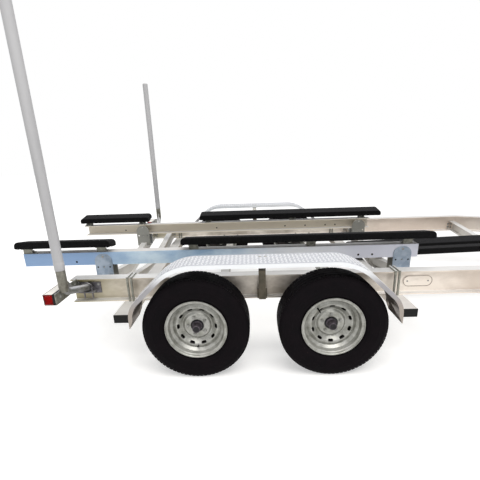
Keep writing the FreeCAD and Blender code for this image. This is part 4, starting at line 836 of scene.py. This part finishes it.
for low, high, side, inner, outer in sidedBoxes("post_clamps"):
    for station in (low.x + boltLook["clampEdge"], high.x - boltLook["clampEdge"]):
        spot = (station, inner + side * boltLook["clampStep"], boltLook["clampHeight"])
        places["head"].append(facing(spot, (0, side, 0)))
for low, high, side, inner, outer in sidedBoxes("lamp_brackets"):
    for across in boltLook["lampAcross"]:
        places["head"].append(facing((high.x, side * across, boltLook["lampHeight"]), (1, 0, 0)))
# the clips: one leg on the cross member, the other on the rail's web
for low, high, side, inner, outer in sidedBoxes("cross_clips"):
    ahead = any(abs(low.x - boltLook["clipSheet"] - station) < boltLook["clipSlack"]
                for station in boltLook["clipForward"])
    forward = 1 if ahead else -1
    webX = low.x if forward > 0 else high.x
    middle = (low.z + high.z) / 2
    for up in (middle - boltLook["clipShift"], middle + boltLook["clipShift"]):
        onRail = (webX + forward * boltLook["clipReach"], outer - side * boltLook["clipFace"], up)
        onBar = (webX + forward * boltLook["clipFace"], inner + side * boltLook["clipIn"], up)
        places["pin"] += [facing(onRail, (0, -side, 0)), facing(onBar, (forward, 0, 0))]
for low, high in solidBoxes("bunk_brackets"):
    middle = (low + high) / 2
    across = middle.y - math.copysign(boltLook["bracketIn"], middle.y)
    for shift in (-boltLook["bracketShift"], boltLook["bracketShift"]):
        spot = (middle.x + shift, across, boltLook["bracketHeight"])
        places["pin"].append(facing(spot, (0, 0, 1), 10))
for kind, stations, across, height, way, turn in boltRows:
    for side in (-1, 1):
        for station in stations:
            direction = (0, 0, 1) if way == "up" else (0, side, 0)
            places[kind].append(facing((station, side * across, height), direction, turn))
for station in jackBolts["stations"]:   # the jack's mount plate, on one side only
    for height in jackBolts["heights"]:
        places["pin"].append(facing((station, jackBolts["across"], height), (0, 1, 0)))
for kind, name, make, smooth in (("nut", "frameNuts", makeNut, 32), ("pin", "smallNuts", makeNut, 32),
                                 ("head", "boltHeads", makeHead, 50)):
    bolts = copiesOf(make(boltLook[kind]), name, places[kind])
    finishPiece(bolts, "zinc_steel", smooth)
print("nuts and bolts:", *(len(spots) for spots in places.values()))

# grease caps over the hubs, as (distance along the axle, radius)

capSleeve = [(0.0212, 0.0), (0.0212, 0.0330), (0.0245, 0.0330), (0.0262, 0.0290), (0.0300, 0.0268),
             (0.0345, 0.0264), (0.0620, 0.0264), (0.0632, 0.0276), (0.0700, 0.0276), (0.0715, 0.0266),
             (0.0760, 0.0262), (0.0784, 0.0240), (0.0788, 0.0205), (0.0772, 0.0198), (0.0772, 0.0)]
capPlug = [(0.0774, 0.0), (0.0774, 0.0190), (0.0790, 0.0190), (0.0800, 0.0165), (0.0803, 0.0070),
           (0.0795, 0.0065), (0.0795, 0.0)]
onWheels(turnedPiece("sleeveMaster", capSleeve), "greaseCap", "black_hub", 40, "capSteel")
onWheels(turnedPiece("plugMaster", capPlug, 32), "capPlug", "black_hub", 40)
print("grease caps")

# brake drums behind the discs' openings, drawn very dark: partly the drums' iron, partly a dark piece that stands
# in for the shade inside the wheels

drumShape = [(-0.0040, 0.0720), (-0.0040, 0.1450), (-0.0100, 0.1550), (-0.0180, 0.1575), (-0.0760, 0.1575),
             (-0.0780, 0.1620), (-0.0850, 0.1620), (-0.0870, 0.1500), (-0.0870, 0.0720), (-0.0040, 0.0720)]
onWheels(turnedPiece("drumMaster", drumShape, 48), "brakeDrum", "black_hub", 35, "drumIron")
print("brake drums")

# rims and screws of the oval plates on the rails

ovalPlate = {"rim": 0.0045, "height": 0.0018, "margin": 0.003, "sunk": 0.0005, "endSlack": 0.0002,
             "screwShift": 0.074, "screwSize": 0.0062}
plateRims, plateScrews = [], []
for low, high, side, inner, outer in sidedBoxes("side_plates"):
    middle = (low + high) / 2
    edge = Vector((ovalPlate["margin"], 0, ovalPlate["margin"]))
    back, front = sorted((outer - side * ovalPlate["sunk"], outer + side * ovalPlate["height"]))
    plate = addBlock("plateRim", Vector((low.x, back, low.z)) + edge, Vector((high.x, front, high.z)) - edge)
    endRound = (high.z - low.z) / 2 - ovalPlate["margin"] - ovalPlate["endSlack"]
    bevelEdges(plate, lambda a, b: abs(a.y - b.y) > ovalPlate["sunk"], endRound, 14)
    plateRims.append(openThrough(plate, 1, ovalPlate["rim"]))
    for shift in (-ovalPlate["screwShift"], ovalPlate["screwShift"]):
        plateScrews.append(facing((middle.x + shift, outer, middle.z), (0, side, 0)))
finishPiece(joinPieces(plateRims, "plateRims"), "mill_aluminium", 40, "dullPlate")
screws = copiesOf(makeHead(ovalPlate["screwSize"]), "plateScrews", plateScrews)
finishPiece(screws, "zinc_steel", 50)
print("oval plates")

# tail lamps: ribbed lenses in narrow borders

lampLook = {"inset": 0.0012, "round": 0.005, "bezel": 0.0030, "bezelDepth": 0.003, "ribGap": 0.0065,
            "ribRadius": 0.0018, "ribSunk": 0.0016, "ribEnd": 0.010, "ribFirst": 0.011, "ribLast": 0.009}


def addRibs(start, end, gap, low, high, placeOf, look):   # upright ribs from start to end
    ribs = []
    spot = start + look["ribFirst"]
    while spot < end - look["ribLast"]:
        across = placeOf(spot)
        ribs.append(addRod("rib", look["ribRadius"], (*across, low.z + look["ribEnd"]),
                           (*across, high.z - look["ribEnd"]), 8))
        spot += gap
    return ribs


lenses, bezels = [], []
for low, high, side, inner, outer in sidedBoxes("lamp_lenses"):
    inset, sunk, depth = lampLook["inset"], lampLook["ribSunk"], lampLook["bezelDepth"]
    lens = addBlock("lens", low + Vector((inset, inset, inset)), high - Vector((0, inset, inset)))
    roundEdges(lens, lampLook["round"], 4)
    lenses.append(lens)
    lenses += addRibs(low.x, high.x, lampLook["ribGap"], low, high,
                      lambda spot: (spot, outer - side * sunk), lampLook)   # on the outer end
    lenses += addRibs(low.y, high.y, lampLook["ribGap"] * 2, low, high,
                      lambda spot: (low.x + sunk, spot), lampLook)   # on the rear face
    back, front = sorted((outer, outer - side * depth))
    bezels += [openThrough(addBlock("bezel", (low.x, back, low.z), (high.x, front, high.z)),
                           1, lampLook["bezel"]),
               openThrough(addBlock("bezel", low, (low.x + depth, high.y, high.z)), 0, lampLook["bezel"])]
lensPiece = finishPiece(joinPieces(lenses, "lampLenses"), "red_lens", 40)
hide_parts("lamp_lenses")
finishPiece(joinPieces(bezels, "lampBezels"), "red_lens", 32, "lensBorder")
print("tail lamps")

# guide posts: collars at their lower ends, and sockets that join them to the arms

collar = {"height": 0.052, "proud": 0.0014, "round": 0.0008, "mouth": 0.004}
socket = {"radius": 0.0290, "gap": 0.0005, "length": 0.118, "foot": 0.030, "neck": 0.0245, "round": 0.0015}


def makeCollar(centre, radius, look):
    ring = addRod("ring", radius + look["proud"], centre, centre + Vector((0, 0, look["height"])), 48)
    roundEdges(ring, look["round"], 2)
    editFaces(ring, lookingDown)
    bpy.ops.mesh.inset(thickness=look["proud"] + look["mouth"])
    extrudeBy(0, 0, look["mouth"])
    backToObject()
    return ring


def makeSocket(centre, look):   # a tube whose foot narrows down to the arm
    top = centre - Vector((0, 0, look["gap"]))
    body = addRod("socket", look["radius"], top - Vector((0, 0, look["length"])), top, 40)
    editFaces(body, lookingDown)
    extrudeBy(0, 0, -look["foot"])
    shrink = look["neck"] / look["radius"]
    bpy.ops.transform.resize(value=(shrink, shrink, 1), center_override=(centre.x, centre.y, 0))
    backToObject()
    roundEdges(body, look["round"], 2, 50)
    return body


collars, sockets = [], []
for low, high in solidBoxes("guide_posts"):
    centre = Vector(((low.x + high.x) / 2, (low.y + high.y) / 2, low.z))
    collars.append(makeCollar(centre, (high.y - low.y) / 2, collar))
    sockets.append(makeSocket(centre, socket))
finishPiece(joinPieces(collars, "postCollars"), "white_plastic")
finishPiece(joinPieces(sockets, "postSockets"), "galvanised_steel", 32, "socketSteel")
print("post collars and sockets")

# dark cups in the holes of the beams and uprights: a dark piece that stands in for the shade inside the holes

holeShade = {"beamRadius": 0.0085, "plateRadius": 0.0070, "deep": 0.0012, "proud": 0.0003, "sunk": 0.00027,
             "rim": 0.16, "beamHeight": 0.648, "plateHeight": 0.600, "plateShift": 0.050,
             "stations": (-3.312, -2.242, -1.447, -1.215, -0.984, -0.872)}


def makeHoleShade(radius, look):   # a shallow cup whose rim is just proud of the metal
    plug = addRod("plug", radius, (0, 0, -look["deep"]), (0, 0, look["proud"]), 20)
    sinkFaces(plug, lookingUp, radius * look["rim"], -look["sunk"])
    return plug


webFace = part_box("bunk_beams")[1].y
beamSpots = [facing((station, side * webFace, holeShade["beamHeight"]), (0, side, 0))
             for side in (-1, 1) for station in holeShade["stations"]]
plateSpots = []
for low, high, side, inner, outer in sidedBoxes("bunk_uprights"):
    if abs(outer) > boltLook["outerPlates"]:
        for shift in (-holeShade["plateShift"], holeShade["plateShift"]):
            spot = ((low.x + high.x) / 2 + shift, outer, holeShade["plateHeight"])
            plateSpots.append(facing(spot, (0, side, 0)))
# black cups as painted shade in the holes
for kind, spots in (("beam", beamSpots), ("plate", plateSpots)):
    shadeCups = copiesOf(makeHoleShade(holeShade[kind + "Radius"], holeShade), kind + "Plugs", spots)
    finishPiece(shadeCups, "black_plastic", 40)
print("hole plugs:", len(beamSpots), len(plateSpots))

# fenders with slanted ends, cut from copies of the plain ones

fenderEnd = {"cutLength": 0.105, "cutDepth": 0.043, "sheet": 0.0035, "blockDepth": 0.10, "past": 0.02,
             "below": 0.05, "longer": 1.06}


def cutEnds(piece, low, high, look):   # a leaning block takes the inner corner off each end
    lean = math.atan2(look["cutDepth"], look["cutLength"])
    for end in (-1, 1):
        near, far = sorted((0, -end * look["blockDepth"]))
        block = addBlock("endCutter", (near, low.y - look["past"], -look["below"]),
                         (far, high.y + look["past"], look["cutLength"] * look["longer"]))
        outerX = (high.x if end > 0 else low.x) - end * look["sheet"]
        cutter = copyAt(block, Matrix.Translation((outerX, 0, low.z)) @ Matrix.Rotation(-end * lean, 4, "Y"))
        useModifier(piece, "BOOLEAN", object=cutter, operation="DIFFERENCE", solver="EXACT")
        discard(cutter)
        discard(block)


for side in ("left", "right"):
    node = "fender_" + side
    low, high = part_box(node)
    shell = bpy.data.objects.new("fenderShell." + side, nodes[node].data.copy())
    bpy.context.scene.collection.objects.link(shell)
    mergeDoubles(shell)
    cutEnds(shell, low, high, fenderEnd)
    finishPiece(shell, "tread_plate", 30)
    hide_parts(node)
print("fenders")

# floor, light and camera

studio = {"floorSize": 60.0, "floorColour": (0.80, 0.80, 0.80, 1), "floorRoughness": 0.9,
          "floorGlow": 0.44, "farFloorGlow": 0.75, "nearReach": 2.5, "farReach": 7.0, "worldLight": 0.48,
          "keyEnergy": 520.0, "keyPlace": (-0.8, -3.6, 7.6), "keyTarget": (-1.5, -0.5, 0.5), "keySize": 6.0,
          "keyTint": (1.0, 0.98, 0.94)}
white = (1, 1, 1, 1)


def seenDirectly(tree, x, y):   # 1 for the camera, in mirrors and through glass, or else 0
    path = addNode(tree, "LightPath", (x - 450, y))
    either = addNode(tree, "Math", (x - 200, y), operation="MAXIMUM")
    anyRay = addNode(tree, "Math", (x, y), operation="MAXIMUM")
    wireUp(tree, (path, "Is Camera Ray", either, 0), (path, "Is Glossy Ray", either, 1),
           (either, 0, anyRay, 0), (path, "Is Transmission Ray", anyRay, 1))
    return anyRay


clearSelection()
bpy.ops.mesh.primitive_plane_add(size=studio["floorSize"], location=(0, 0, 0))
floor = bpy.context.object
floor.name = "floor"
floorFinish, floorTree, floorShader = newMaterial("paleFloor", {
    "Base Color": studio["floorColour"], "Roughness": studio["floorRoughness"], "Specular IOR Level": 0.0,
    "Emission Color": white})
floorPlace = addNode(floorTree, "TexCoord", (-1100, -600))
reach = addNode(floorTree, "VectorMath", (-900, -600), operation="LENGTH")
farGlow = addNode(floorTree, "MapRange", (-650, -600), {   # white away from the trailer
    "From Min": studio["nearReach"], "From Max": studio["farReach"], "To Min": studio["floorGlow"],
    "To Max": studio["farFloorGlow"]})
glow = addNode(floorTree, "Math", (-250, -300), operation="MULTIPLY")
wireUp(floorTree, (floorPlace, "Object", reach, 0), (reach, "Value", farGlow, "Value"),
       (seenDirectly(floorTree, -450, -300), 0, glow, 0), (farGlow, "Result", glow, 1),
       (glow, 0, floorShader, "Emission Strength"))
floor.data.materials.append(floorFinish)

world = bpy.data.worlds.new("studioWorld")
bpy.context.scene.world = world
world.use_nodes = True
worldTree = world.node_tree
backdrop = worldTree.nodes["Background"]
backdrop.inputs["Color"].default_value = white
level = addNode(worldTree, "MapRange", (-300, 0), {"To Min": studio["worldLight"], "To Max": 1.0})
wireUp(worldTree, (seenDirectly(worldTree, -500, 0), 0, level, "Value"),
       (level, "Result", backdrop, "Strength"))

clearSelection()
bpy.ops.object.light_add(type="AREA", location=studio["keyPlace"])
lamp = bpy.context.object
lamp.name = "keyLight"
lamp.data.size = studio["keySize"]
lamp.data.energy = studio["keyEnergy"]
lamp.data.color = studio["keyTint"]
aim = Vector(studio["keyTarget"]) - Vector(studio["keyPlace"])
lamp.rotation_euler = aim.to_track_quat("-Z", "Y").to_euler()

view = {"place": (-1.8769, -3.1962, 1.4698), "yaw": -1.58, "pitch": 17.05, "roll": -1.97,
        "focal": 24.85, "sensor": 36.0, "shift": 0.03125, "clipEnd": 200.0}
yaw, pitch, roll = (math.radians(view[k]) for k in ("yaw", "pitch", "roll"))
forward = Vector((math.sin(yaw) * math.cos(pitch), math.cos(yaw) * math.cos(pitch), -math.sin(pitch)))
levelAcross = Vector((math.cos(yaw), -math.sin(yaw), 0))
upward = levelAcross.cross(forward)
across = levelAcross * math.cos(roll) + upward * math.sin(roll)
over = upward * math.cos(roll) - levelAcross * math.sin(roll)
clearSelection()
bpy.ops.object.camera_add(location=view["place"])
camera = bpy.context.object
camera.name = "viewCamera"
camera.rotation_euler = Matrix((across, over, -forward)).transposed().to_euler()
camera.data.lens = view["focal"]
camera.data.sensor_width = view["sensor"]
camera.data.shift_y = view["shift"]
camera.data.clip_end = view["clipEnd"]
bpy.context.scene.camera = camera
bpy.context.scene.view_settings.view_transform = "Standard"
print("floor, light and camera ready")
